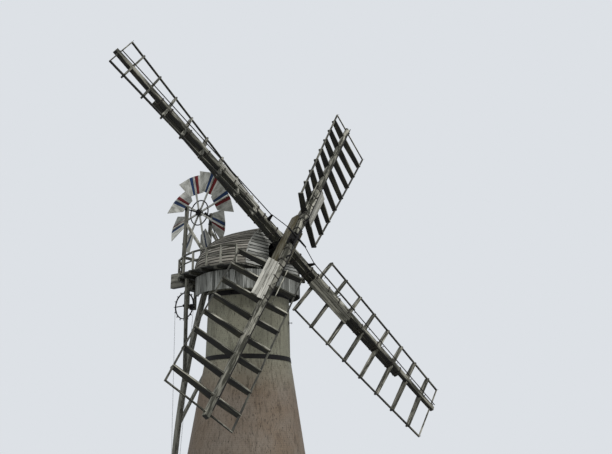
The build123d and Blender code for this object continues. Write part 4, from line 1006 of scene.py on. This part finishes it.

# Framing of the cap, the fan stage and the tail: node, axis of the grain, slot, material and arris

# The framing under the cap takes the darker oak, its colour painted shade
for node, axis, slot, material, arris in (
    ("cap_sill", "Y", "bare_timber", shaded_framing_oak, TIMBER_ARRIS),
    ("windshaft_beams", "X", "bare_timber", shaded_framing_oak, TIMBER_ARRIS),
    ("gallery_joists", "X", "bare_timber", shaded_framing_oak, TIMBER_ARRIS),
    ("tail_cross_beam", "X", "bare_timber", shaded_framing_oak, TIMBER_ARRIS),
    ("sheers", "Y", "painted_timber", post_pine, SHEER_ARRIS),
    ("fan_stage", "Y", "painted_timber", post_pine, SHEER_ARRIS),
    ("fan_posts", None, "painted_timber", post_pine, POST_ARRIS),
    ("fan_post_braces", None, "painted_timber", post_pine, POST_ARRIS),
    ("wheel_hangers", None, "painted_timber", post_pine, POST_ARRIS),
    ("tail_pole", None, "bare_timber", pole_oak, BEAM_ARRIS),
    ("pole_braces", None, "bare_timber", pole_oak, BEAM_ARRIS),
):
    eased_copy(node, "cap", slot, material, axis, arris)

# Planks of the fan stage, left open round the posts

STAGE_PLANKS = 9
STAGE_PLANK_GAP = 0.008
STAGE_PLANK_THICKNESS = 0.022
STAGE_PLANK_RISE = 0.008
POST_ROOM = 0.1

stage_parts = []
stage_step = (STAGE_HIGH.y - STAGE_LOW.y) / STAGE_PLANKS
for number in range(STAGE_PLANKS):
    y = STAGE_LOW.y + (number + 0.5) * stage_step
    if abs(y - POST_FOOT) > POST_ROOM:
        ends = [(x, y, STAGE_HIGH.z + STAGE_PLANK_RISE) for x in (STAGE_LOW.x, STAGE_HIGH.x)]
        section = plain(stage_step - STAGE_PLANK_GAP, STAGE_PLANK_THICKNESS)
        stage_parts.append(timber("stage_plank", *ends, (0, 1, 0), section, LATH_ARRIS))
assemble("stage_planks", stage_parts, "cap", "grey_boards", deck_boards)

# Iron of the fan's frame: rings round the axle, nuts of the bearings and posts, straps at their feet

AXLE_RING_RADIUS = 0.065
AXLE_RING_STEPS = 10
AXLE_RING_REACH = 0.64
AXLE_RING_SECTION = plain(0.02, 0.045)
BEARING_NUT_RISES = (-0.1, 0.1)
POST_NUT_RISES = (0.06, 0.2)
FOOT_STRAP_X = 0.853
FOOT_STRAP_SECTION = plain(0.06, 0.01)
FOOT_STRAP_RISE = 0.04
FOOT_STRAP_TOP = 0.02
FOOT_NUT_X = 0.858
FOOT_NUT_RISES = (0.09, 0.27)

fitting_parts = []
for side in (-1, 1):
    out = Vector((side, 0, 0))
    bearing = Vector((side * POST_OUTSIDE, FAN_CENTRE.y, FAN_CENTRE.z))
    for number in range(AXLE_RING_STEPS):
        swing = 2 * pi * number / AXLE_RING_STEPS
        ends = [bearing + AXLE_RING_RADIUS * Vector((0, cos(turn), sin(turn)))
                for turn in (swing, swing + AXLE_RING_REACH)]
        fitting_parts.append(timber("bearing_ring", *ends, out, AXLE_RING_SECTION, PACKING_ARRIS))
    for rise in BEARING_NUT_RISES:
        fitting_parts += nut(bearing + upward(rise), out, BIG_NUT)
    for rise in POST_NUT_RISES:
        fitting_parts += nut((side * POST_OUTSIDE, POST_FOOT, STAGE_HIGH.z + rise), out, BIG_NUT)
    ends = [Vector((side * FOOT_STRAP_X, POST_FOOT, z))
            for z in (SHEER_TOP + FOOT_STRAP_RISE, STAGE_HIGH.z - FOOT_STRAP_TOP)]
    fitting_parts.append(timber("foot_strap", *ends, (0, 1, 0), FOOT_STRAP_SECTION, IRON_EDGE))
    for rise in FOOT_NUT_RISES:
        fitting_parts += nut((side * FOOT_NUT_X, POST_FOOT, SHEER_TOP + rise), out, BIG_NUT)
assemble("fan_frame_fittings", fitting_parts, "cap", "black_iron", black_iron)


# Sails: one is modelled flat in its own plane, then placed four times

BAR_RADII = [FIRST_BAR + BAR_SPACING * number for number in range(BAR_COUNT)] + [END_RAIL]
HEEL_PLANKS = 4
HEEL_PLANK_GAP = 0.01
HEEL_PLANK_WANDER = 0.004
HEEL_START_WANDER = 0.02
HEEL_END_WANDER = (-0.05, 0.03)
PACKING_INSET = 0.06
LATH_LIFT = 0.006

# Wedges at the bars' mortises: place along the whip, length, and sections
WEDGE_FOOT = 0.036
WEDGE_TIP = 0.033
WEDGE_LENGTH = 0.075
WEDGE_FORWARD = 0.03
WEDGE_SECTIONS = ((0, 0.022, 0.12, 0), (1, 0.01, 0.1, 0))

# Radius, width and depth along a whip, the long stock and the short one
WHIP_SECTIONS = (
    (WHIP_START, 0.26, WHIP_DEPTH), (4.4, 0.26, WHIP_DEPTH), (8.9, 0.24, 0.2), (SAIL_LENGTH, 0.21, 0.18),
)
STOCK_SECTIONS = (
    ((STOCK_PARALLEL, STOCK_SIZE, STOCK_SIZE), (7.9, 0.28, 0.18)),
    ((STOCK_PARALLEL, STOCK_SIZE, STOCK_SIZE), (4.2, 0.19, 0.15)),
)

# Hoops that clamp a whip to the long stock and to the short one
HOOP_PLACES = ((2.72, 3.42, 4.06, 5.0, 6.1, 7.2, 7.75), (2.72, 3.42, 4.06))
HOOP_WIDTH = 0.06
HOOP_THICKNESS = 0.012
HOOP_NUT_SHARE = 0.6
STRAP_NUT_X = 0.085


def section_at(sections, radius):
    """Width and depth of a tapered timber at a radius."""
    radius = min(max(radius, sections[0][0]), sections[-1][0])
    for (start, *near), (end, *far) in zip(sections, sections[1:]):
        if radius <= end:
            share = (radius - start) / (end - start)
            return [a + (b - a) * share for a, b in zip(near, far)]


def sail_point(across, forward, radius):
    """Point given along a bar, square to it and out along the whip, in the sail's own plane."""
    share = (radius - FIRST_BAR) / (BAR_SPACING * (BAR_COUNT - 1))
    twist = radians(HEEL_TWIST + (TIP_TWIST - HEEL_TWIST) * share)
    x = across * cos(twist) + forward * sin(twist)
    z = forward * cos(twist) - across * sin(twist)
    return Vector((x, radius, z))


def sail_plank(name, across, forward, span, width, depth, pieces=6):
    """Lath or plank along the sail that twists with the bars."""
    sections = [(step / pieces, width, depth, 0) for step in range(pieces + 1)]
    ends = [(across, forward, radius) for radius in span]
    plank = timber(name, *ends, (1, 0, 0), sections, LATH_ARRIS)
    for vertex in plank.data.vertices:
        vertex.co = sail_point(*vertex.co)
    return plank


def bar_ends(radius):
    reaches = (-LEADING_WIDTH - BAR_OVERHANG, TRAILING_WIDTH + BAR_OVERHANG)
    return [sail_point(reach, 0, radius) for reach in reaches]


def sail_bar(radius):
    """Bar with a straight front edge, deepest at the whip, its ends past the hems."""
    whip_share = (LEADING_WIDTH + BAR_OVERHANG) / (LEADING_WIDTH + TRAILING_WIDTH + 2 * BAR_OVERHANG)
    hem_section = (BAR_THICKNESS, BAR_HEM_DEPTH, BAR_FRONT - BAR_HEM_DEPTH / 2)
    root_section = (BAR_THICKNESS, BAR_ROOT_DEPTH, BAR_FRONT - BAR_ROOT_DEPTH / 2)
    sections = ((0, *hem_section), (whip_share, *root_section), (1, *hem_section))
    return timber("bar", *bar_ends(radius), (0, 1, 0), sections, BOARD_ARRIS)


def sail_parts():
    """Whip, bars, end rail, inner lath and the wedges of the bars."""
    length = SAIL_LENGTH - WHIP_START
    sections = [((radius - WHIP_START) / length, width, depth, 0) for radius, width, depth in WHIP_SECTIONS]
    parts = [timber("whip", (0, WHIP_START, 0), (0, SAIL_LENGTH, 0), (1, 0, 0), sections, WHIP_ARRIS)]
    parts += [sail_bar(radius) for radius in BAR_RADII[:-1]]
    rail_section = plain(END_RAIL_WIDTH, END_RAIL_DEPTH)
    parts.append(timber("end_rail", *bar_ends(END_RAIL), (0, 1, 0), rail_section, BOARD_ARRIS))
    lath_span = (FIRST_BAR - BAR_THICKNESS, FIRST_BAR + 2 * BAR_SPACING + BAR_THICKNESS)
    parts.append(sail_plank(
        "inner_lath", -INNER_LATH_REACH, BAR_FRONT + LATH_LIFT, lath_span,
        INNER_LATH_SECTION, INNER_LATH_SECTION,
    ))
    for radius in BAR_RADII:
        half = section_at(WHIP_SECTIONS, radius)[0] / 2
        for way in (-1, 1):
            foot = sail_point(way * half, WEDGE_FORWARD, radius + WEDGE_FOOT)
            tip = sail_point(way * (half + WEDGE_LENGTH), WEDGE_FORWARD, radius + WEDGE_TIP)
            parts.append(timber("wedge", foot, tip, (0, 1, 0), WEDGE_SECTIONS, IRON_EDGE))
    return parts


def hem_laths():
    return [sail_plank("hem", reach, 0, (FIRST_BAR, END_RAIL), HEM_WIDTH, HEM_DEPTH, 16)
            for reach in (-LEADING_WIDTH, TRAILING_WIDTH)]


def heel_planks():
    """Boards along the heel, in front of the bars on packing pieces."""
    width = (HEEL_BOARD_REACH - HEEL_BOARD_INNER) / HEEL_PLANKS
    parts = []
    for number in range(HEEL_PLANKS):
        across = HEEL_BOARD_INNER + (number + 0.5) * width
        forward = HEEL_BOARD_FRONT - HEEL_BOARD_THICKNESS / 2 + random.uniform(0.0, HEEL_PLANK_WANDER)
        start = HEEL_BOARD_START + random.uniform(-HEEL_START_WANDER, HEEL_START_WANDER)
        end = HEEL_BOARD_END + random.uniform(*HEEL_END_WANDER)
        parts.append(sail_plank(
            "heel_plank", across, forward, (start, end), width - HEEL_PLANK_GAP, HEEL_BOARD_THICKNESS,
        ))
    packing = HEEL_BOARD_FRONT - HEEL_BOARD_THICKNESS - BAR_FRONT
    for radius in BAR_RADII[:3]:
        reaches = (HEEL_BOARD_INNER + PACKING_INSET, HEEL_BOARD_REACH)
        ends = [sail_point(reach, BAR_FRONT + packing / 2, radius) for reach in reaches]
        parts.append(timber("packing", *ends, (0, 1, 0), plain(BAR_THICKNESS, packing), PACKING_ARRIS))
    return parts


def sail_irons(index):
    """Hoops round the whip and the thin end of its stock, and nuts on the straps and the bars' ends."""
    parts = []
    hoop_section = plain(HOOP_WIDTH, HOOP_THICKNESS)
    for radius in HOOP_PLACES[index % 2]:
        whip_width, whip_depth = section_at(WHIP_SECTIONS, radius)
        stock_width, stock_depth = section_at(STOCK_SECTIONS[index % 2], radius)
        half = max(whip_width, stock_width) / 2 + HOOP_THICKNESS / 2
        front = whip_depth / 2 + HOOP_THICKNESS / 2
        back = -WHIP_DEPTH / 2 - stock_depth - HOOP_THICKNESS / 2
        for z in (front, back):
            ends = ((-half, radius, z), (half, radius, z))
            parts.append(timber("clamp", *ends, (0, 1, 0), hoop_section, IRON_EDGE))
        for x in (-half, half):
            ends = ((x, radius, back), (x, radius, front))
            parts.append(timber("clamp", *ends, (0, 1, 0), hoop_section, IRON_EDGE))
            parts += nut((x * HOOP_NUT_SHARE, radius, front + HOOP_THICKNESS / 2), (0, 0, 1), BIG_NUT)
    for radius in STRAP_PLACES:
        for x in (-STRAP_NUT_X, STRAP_NUT_X):
            parts += nut((x, radius, WHIP_DEPTH / 2 + STRAP_THICKNESS), (0, 0, 1), BIG_NUT)
    for radius in BAR_RADII:
        forward = sail_point(0, 1, radius) - sail_point(0, 0, radius)
        for reach in (-LEADING_WIDTH, TRAILING_WIDTH):
            parts += nut(sail_point(reach, BAR_FRONT, radius), forward, SMALL_NUT)
    return parts


def sail_matrix(index):
    """Places a sail's plane on the windshaft; every second sail lies on the outer stock."""
    forward = Vector((0, -cos(SHAFT_TILT), sin(SHAFT_TILT)))
    right = Vector((1, 0, 0))
    flat = Matrix((right, forward.cross(right), forward)).transposed().to_4x4()
    turned = flat @ Matrix.Rotation(SAIL_TURN - index * pi / 2, 4, "Z")
    turned.translation = HUB + forward * STOCK_SPACING * (index % 2)
    return turned


frame_pattern = join("sail_pattern", sail_parts())
hem_pattern = join("hem_pattern", hem_laths())
heel_pattern = join("heel_pattern", heel_planks())
iron_patterns = [join("iron_pattern", sail_irons(index)) for index in range(2)]
irons = []
for index, letter in enumerate("abcd"):
    # Sail C's heel boards take the darker copy as painted shade
    heel_wood = shaded_heel_pine if letter == "c" else heel_pine
    for pattern_piece, name, material, nodes in (
        (frame_pattern, "sail_frame_", painted_pine, ("sail_" + letter,)),
        (heel_pattern, "heel_planks_", heel_wood, ()),
        (hem_pattern, "hems_", hem_pine, ()),
    ):
        piece = copy_piece(pattern_piece, name + letter, sail_matrix(index))
        shift_grain(piece)
        finish_piece(piece, "sails", "painted_timber", material, *nodes)
    irons.append(copy_piece(iron_patterns[index % 2], "sail_irons", sail_matrix(index)))
assemble("sail_irons", irons, "sails", "black_iron", strap_iron)
for pattern_piece in (frame_pattern, hem_pattern, heel_pattern, *iron_patterns):
    bpy.data.objects.remove(pattern_piece)

# Stout arms of the spider in front of the hub

SPIDER_PLACE = 0.62
SPIDER_SPAN = (0.02, 0.55)
SPIDER_SECTIONS = ((0, 0.09, 0.07, 0), (1, 0.065, 0.05, 0))

spider_arms = []
for index in range(4):
    place = sail_matrix(index)
    forward = SPIDER_PLACE - STOCK_SPACING * (index % 2)
    ends = [place @ Vector((0, reach, forward)) for reach in SPIDER_SPAN]
    across = place.to_3x3() @ Vector((1, 0, 0))
    spider_arms.append(timber("spider_arm", *ends, across, SPIDER_SECTIONS))
assemble("spider_arms", spider_arms, "sails", "black_iron", black_iron)

# Stocks: squared timbers whose back slopes up towards their thin ends

for index, node in enumerate(("inner_stock", "outer_stock")):
    reach, end_width, end_depth = STOCK_SECTIONS[index][-1]
    taper = (reach - STOCK_PARALLEL) / (2 * reach)
    end_section = (end_width, end_depth, (end_depth - STOCK_SIZE) / 2)
    middle_section = (STOCK_SIZE, STOCK_SIZE, 0)
    sections = (
        (0, *end_section), (taper, *middle_section), (1 - taper, *middle_section), (1, *end_section),
    )
    ends = [Vector((0, way * reach, -STOCK_BEHIND)) for way in (-1, 1)]
    stock = timber(node + "_timber", *ends, (1, 0, 0), sections, BEAM_ARRIS)
    stock.data.transform(sail_matrix(index))
    finish_piece(stock, "sails", "painted_timber", painted_pine, node)

# Clamps: timbers bolted along both sides of the outer stock, past the poll end

CLAMP_SECTION = plain(0.15, 0.33)
CLAMP_X = 0.255
CLAMP_MIDDLE = -0.245
# Side of the stock, and where the clamp starts and ends along it
CLAMP_SPANS = ((-1, -2.0, 1.65), (1, -1.25, 1.0))

clamp_parts = []
for side, *span in CLAMP_SPANS:
    ends = [(side * CLAMP_X, y, CLAMP_MIDDLE) for y in span]
    clamp = timber("stock_clamp", *ends, (1, 0, 0), CLAMP_SECTION, BEAM_ARRIS)
    clamp.data.transform(sail_matrix(1))
    clamp_parts.append(clamp)
assemble("stock_clamps", clamp_parts, "sails", "painted_timber", lichen_pine)

# Oak wedges that hold the stocks in the poll end

POLL_WEDGE_X = 0.135
POLL_WEDGE_SPAN = (0.3, 0.43)
POLL_WEDGE_SECTIONS = ((0, 0.04, 0.26, 0), (1, 0.06, 0.26, 0))

wedge_parts = []
for index in range(2):
    place = sail_matrix(index)
    across = place.to_3x3() @ Vector((1, 0, 0))
    for way in (-1, 1):
        for side in (-1, 1):
            ends = [place @ Vector((side * POLL_WEDGE_X, way * y, -STOCK_BEHIND)) for y in POLL_WEDGE_SPAN]
            wedge_parts.append(timber("poll_wedge", *ends, across, POLL_WEDGE_SECTIONS))
assemble("poll_wedges", wedge_parts, "sails", "painted_timber", post_pine)


# Fan blades: thin tapered boards with a navy and a dark red stripe either side of the spoke

STRIPE_NEAR = 0.05
STRIPE_WIDTH = 0.17
STRIPE_FAR = STRIPE_NEAR + STRIPE_WIDTH
# Width of the stripes at the blade's inner edge, in shares of their full width
STRIPE_TAPER = 0.7
# The spoke's painted skin over the model's own spoke
SPOKE_SKIN = 0.004
SPOKE_END_SKIN = 0.002
SPOKE_END = 0.01
SPOKE_NUT_RADII = (0.2, RING_RADIUS)
SPOKE_FACE = 0.029


def fan_blade():
    """One blade along +X, white with a navy and a red stripe, its outer edge cut to the wheel's circle."""
    deselect()
    bpy.ops.mesh.primitive_grid_add(x_subdivisions=6, y_subdivisions=5, size=2)
    blade = new_piece("fan_blade")
    columns = (-1.0, -STRIPE_FAR, -STRIPE_NEAR, STRIPE_NEAR, STRIPE_FAR, 1.0)
    for material in (fan_white, fan_navy, fan_red):
        blade.data.materials.append(material)
    rows = sorted({round(vertex.co.y, 4) for vertex in blade.data.vertices})
    row_of = {vertex.index: rows.index(round(vertex.co.y, 4)) for vertex in blade.data.vertices}
    for face in blade.data.polygons:
        row = min(row_of[index] for index in face.vertices)
        face.material_index = {1: 1, 3: 2}.get(row, 0)
    layer = blade.data.attributes.new("grain", "FLOAT_VECTOR", "POINT")
    for vertex, item in zip(blade.data.vertices, layer.data):
        along = (vertex.co.x + 1) / 2
        half = (BLADE_INNER_WIDTH + (BLADE_OUTER_WIDTH - BLADE_INNER_WIDTH) * along) / 2
        column = columns[row_of[vertex.index]]
        at_edge = abs(column) == 1
        outer_across = BLADE_OUTER_WIDTH / 2 if at_edge else column
        outer_radius = sqrt(FAN_RADIUS ** 2 - outer_across ** 2)
        radius = BLADE_INNER_RADIUS + (outer_radius - BLADE_INNER_RADIUS) * along
        across = column * (half if at_edge else STRIPE_TAPER + (1 - STRIPE_TAPER) * along)
        vertex.co = Vector((radius, across, 0))
        item.vector = Vector((across, 0, radius))
    thicken(blade, BLADE_THICKNESS, 0)
    return blade


blade_pattern = fan_blade()
wheel_plane = Matrix((Vector((0, 1, 0)), Vector((0, 0, 1)), Vector((1, 0, 0)))).transposed().to_4x4()
wheel_plane.translation = FAN_CENTRE
blade_place = (
    Matrix.Rotation(BLADE_PITCH, 4, "X")
    @ Matrix.Translation((0, 0, SPOKE_DEPTH / 2 + BLADE_THICKNESS / 2))
)
spoke_sections = (
    (0, SPOKE_WIDTH + SPOKE_SKIN, SPOKE_DEPTH + SPOKE_SKIN, 0),
    (1, SPOKE_WIDTH + SPOKE_END_SKIN, SPOKE_DEPTH + SPOKE_SKIN, 0),
)
blades, spokes, spoke_nuts = [], [], []
for number in range(FAN_BLADES):
    spoke_plane = wheel_plane @ Matrix.Rotation(FAN_TURN + number * 2 * pi / FAN_BLADES, 4, "Z")
    blade = copy_piece(blade_pattern, "fan_blade", spoke_plane @ blade_place)
    shift_grain(blade)
    blades.append(blade)
    ends = [spoke_plane @ Vector((radius, 0, 0)) for radius in (FAN_HUB_RADIUS, SPOKE_REACH + SPOKE_END)]
    across = spoke_plane.to_3x3() @ Vector((0, 1, 0))
    out = spoke_plane.to_3x3() @ Vector((0, 0, 1))
    spokes.append(timber("fan_spoke", *ends, across, spoke_sections))
    for radius in SPOKE_NUT_RADII:
        for way in (-1, 1):
            spoke_nuts += nut(spoke_plane @ Vector((radius, 0, way * SPOKE_FACE)), out * way, SPOKE_NUT)
bpy.data.objects.remove(blade_pattern)
assemble("fan_boards", blades, "fan", "fan_paint", None, "fan_blades")
assemble("fan_spokes", spokes, "fan", "fan_paint", fan_white)
assemble("fan_nuts", spoke_nuts, "fan", "black_iron", black_iron)

# The wheel's ring and boss

deselect()
bpy.ops.mesh.primitive_torus_add(
    major_segments=64, minor_segments=8, major_radius=RING_RADIUS, minor_radius=RING_SECTION_RADIUS,
)
ring = new_piece("fan_ring")
ring.data.transform(wheel_plane)
half_boss = Vector((BOSS_HALF_LENGTH, 0, 0))
boss = rod("fan_boss", FAN_CENTRE - half_boss, FAN_CENTRE + half_boss, BOSS_RADIUS, 32)
assemble("fan_hub_irons", [ring, boss], "fan", "black_iron", black_iron)


# Teeth of the chain wheel's pinion

PINION_TEETH = 14
PINION_RADIUS = 0.11
PINION_MIDDLE = -0.585
TOOTH_ROOT = 0.005
TOOTH_HEIGHT = 0.034
TOOTH_SECTIONS = ((0, 0.078, 0.03, 0), (1, 0.074, 0.014, 0))

teeth = []
for number in range(PINION_TEETH):
    turn = 2 * pi * number / PINION_TEETH
    out = Vector((0, cos(turn), sin(turn)))
    foot = Vector((PINION_MIDDLE, WHEEL.y, WHEEL.z)) + out * (PINION_RADIUS - TOOTH_ROOT)
    teeth.append(timber("tooth", foot, foot + out * TOOTH_HEIGHT, (1, 0, 0), TOOTH_SECTIONS, IRON_EDGE))
assemble("pinion_teeth", teeth, "chain_wheel", "black_iron", black_iron)


# Striking chain: oval links along the same loop as the model's

LINK_PITCH = 0.056
WIRE = 0.007
LINK_RADIUS = 0.014
LINK_STRETCH = 0.016
ARC_STEPS = 60
BEND_STEPS = 6


def chain_corners():
    """Corners of the loop in the wheel's plane (Y, Z): over the rim, down both sides, round two bends."""
    front, rear = pi + CHAIN_FRONT_LEAN, -CHAIN_REAR_LEAN
    points = []
    for step in range(ARC_STEPS + 1):
        turn = rear + (front - rear) * step / ARC_STEPS
        points.append((CHAIN_LOOP_RADIUS * cos(turn), CHAIN_LOOP_RADIUS * sin(turn)))
    drop = CHAIN_BOTTOM - WHEEL.z
    front_foot = points[-1][0] - (drop - points[-1][1]) * tan(CHAIN_FRONT_LEAN)
    rear_foot = points[0][0] + (drop - points[0][1]) * tan(CHAIN_REAR_LEAN)
    turns = [(pi / 2) * step / BEND_STEPS for step in range(BEND_STEPS + 1)]
    bend = [(CHAIN_BEND * (1 - cos(turn)), CHAIN_BEND * (1 - sin(turn))) for turn in turns]
    points += [(front_foot + inward, drop + rise) for inward, rise in bend]
    points += [(rear_foot - inward, drop + rise) for rise, inward in bend]
    return points + points[:1]


def chain_route():
    """Places and directions along the loop, a link apart."""
    points = chain_corners()
    lengths = [hypot(b[0] - a[0], b[1] - a[1]) for a, b in zip(points, points[1:])]
    count = 2 * round(sum(lengths) / LINK_PITCH / 2)
    pitch = sum(lengths) / count
    places, travelled, segment = [], 0.0, 0
    for number in range(count):
        target = number * pitch
        while travelled + lengths[segment] < target:
            travelled += lengths[segment]
            segment += 1
        share = (target - travelled) / lengths[segment]
        a, b = points[segment], points[segment + 1]
        run = (b[0] - a[0], b[1] - a[1])
        places.append((a[0] + run[0] * share, a[1] + run[1] * share, atan2(run[1], run[0])))
    return places


deselect()
bpy.ops.mesh.primitive_torus_add(
    major_segments=12, minor_segments=5, major_radius=LINK_RADIUS, minor_radius=WIRE / 2,
)
link_pattern = new_piece("link")
for vertex in link_pattern.data.vertices:
    vertex.co.x += LINK_STRETCH if vertex.co.x > 0 else -LINK_STRETCH
mark_grain(link_pattern)
links = []
for number, (y, z, turn) in enumerate(chain_route()):
    flat = Matrix.Rotation(pi / 2, 4, "X") if number % 2 else Matrix.Identity(4)
    place = Matrix.Translation((WHEEL.x, WHEEL.y + y, WHEEL.z + z))
    along = Matrix((Vector((0, cos(turn), sin(turn))), Vector((0, -sin(turn), cos(turn))), Vector((1, 0, 0))))
    links.append(copy_piece(link_pattern, "link", place @ along.transposed().to_4x4() @ flat))
bpy.data.objects.remove(link_pattern)
assemble("chain_links", links, "cap", "black_iron", chain_iron, "striking_chain")


# Plain pale floor, soft lamps and a pale world

FLOOR_SIZE = 160
FLOOR_DROP = 0.002


def seen_rays(tree):
    """1 for the rays that show a surface to the camera, directly, mirrored or through glass."""
    rays = add_node(tree, "ShaderNodeLightPath").outputs
    shown = rays["Is Camera Ray"]
    for ray in ("Is Glossy Ray", "Is Transmission Ray"):
        shown = add_node(tree, "ShaderNodeMath", {0: shown, 1: rays[ray]}, operation="MAXIMUM").outputs[0]
    return shown


deselect()
bpy.ops.mesh.primitive_plane_add(size=FLOOR_SIZE, location=(0, 0, -FLOOR_DROP))
ground = new_piece("floor")
ground_material, ground_tree, ground_shader = new_material("pale_floor", 0.9)
ground_colour = add_node(
    ground_tree, "ShaderNodeMix",
    {MIX_SHARE: seen_rays(ground_tree), MIX_FIRST: linear("8F8F8C"), MIX_SECOND: linear("B9BABB")},
    data_type="RGBA",
)
ground_tree.links.new(ground_colour.outputs[MIX_RESULT], ground_shader.inputs["Base Color"])
ground.data.materials.append(ground_material)


def add_sun(name, direction, energy, angle):
    lamp = bpy.data.lights.new(name, "SUN")
    lamp.energy = energy
    lamp.angle = radians(angle)
    holder = bpy.data.objects.new(name, lamp)
    holder.rotation_euler = Vector(direction).to_track_quat("-Z", "Y").to_euler()
    bpy.context.collection.objects.link(holder)


add_sun("key", (0.3, 0.62, -1.05), 2.5, 22)
add_sun("fill", (0.2, 0.9, -0.15), 0.3, 60)

world = bpy.data.worlds.new("pale_sky")
bpy.context.scene.world = world
world.use_nodes = True
world_tree = world.node_tree
world_tree.nodes.clear()
glow = add_node(world_tree, "ShaderNodeBackground", {"Color": linear("DDE1E6"), "Strength": 1.0})
light = add_node(world_tree, "ShaderNodeBackground", {"Color": linear("EDF1F5"), "Strength": 0.75})
blended = add_node(
    world_tree, "ShaderNodeMixShader", {0: seen_rays(world_tree), 1: light.outputs[0], 2: glow.outputs[0]},
)
add_node(world_tree, "ShaderNodeOutputWorld", {"Surface": blended.outputs[0]})
bpy.context.scene.view_settings.view_transform = "Standard"
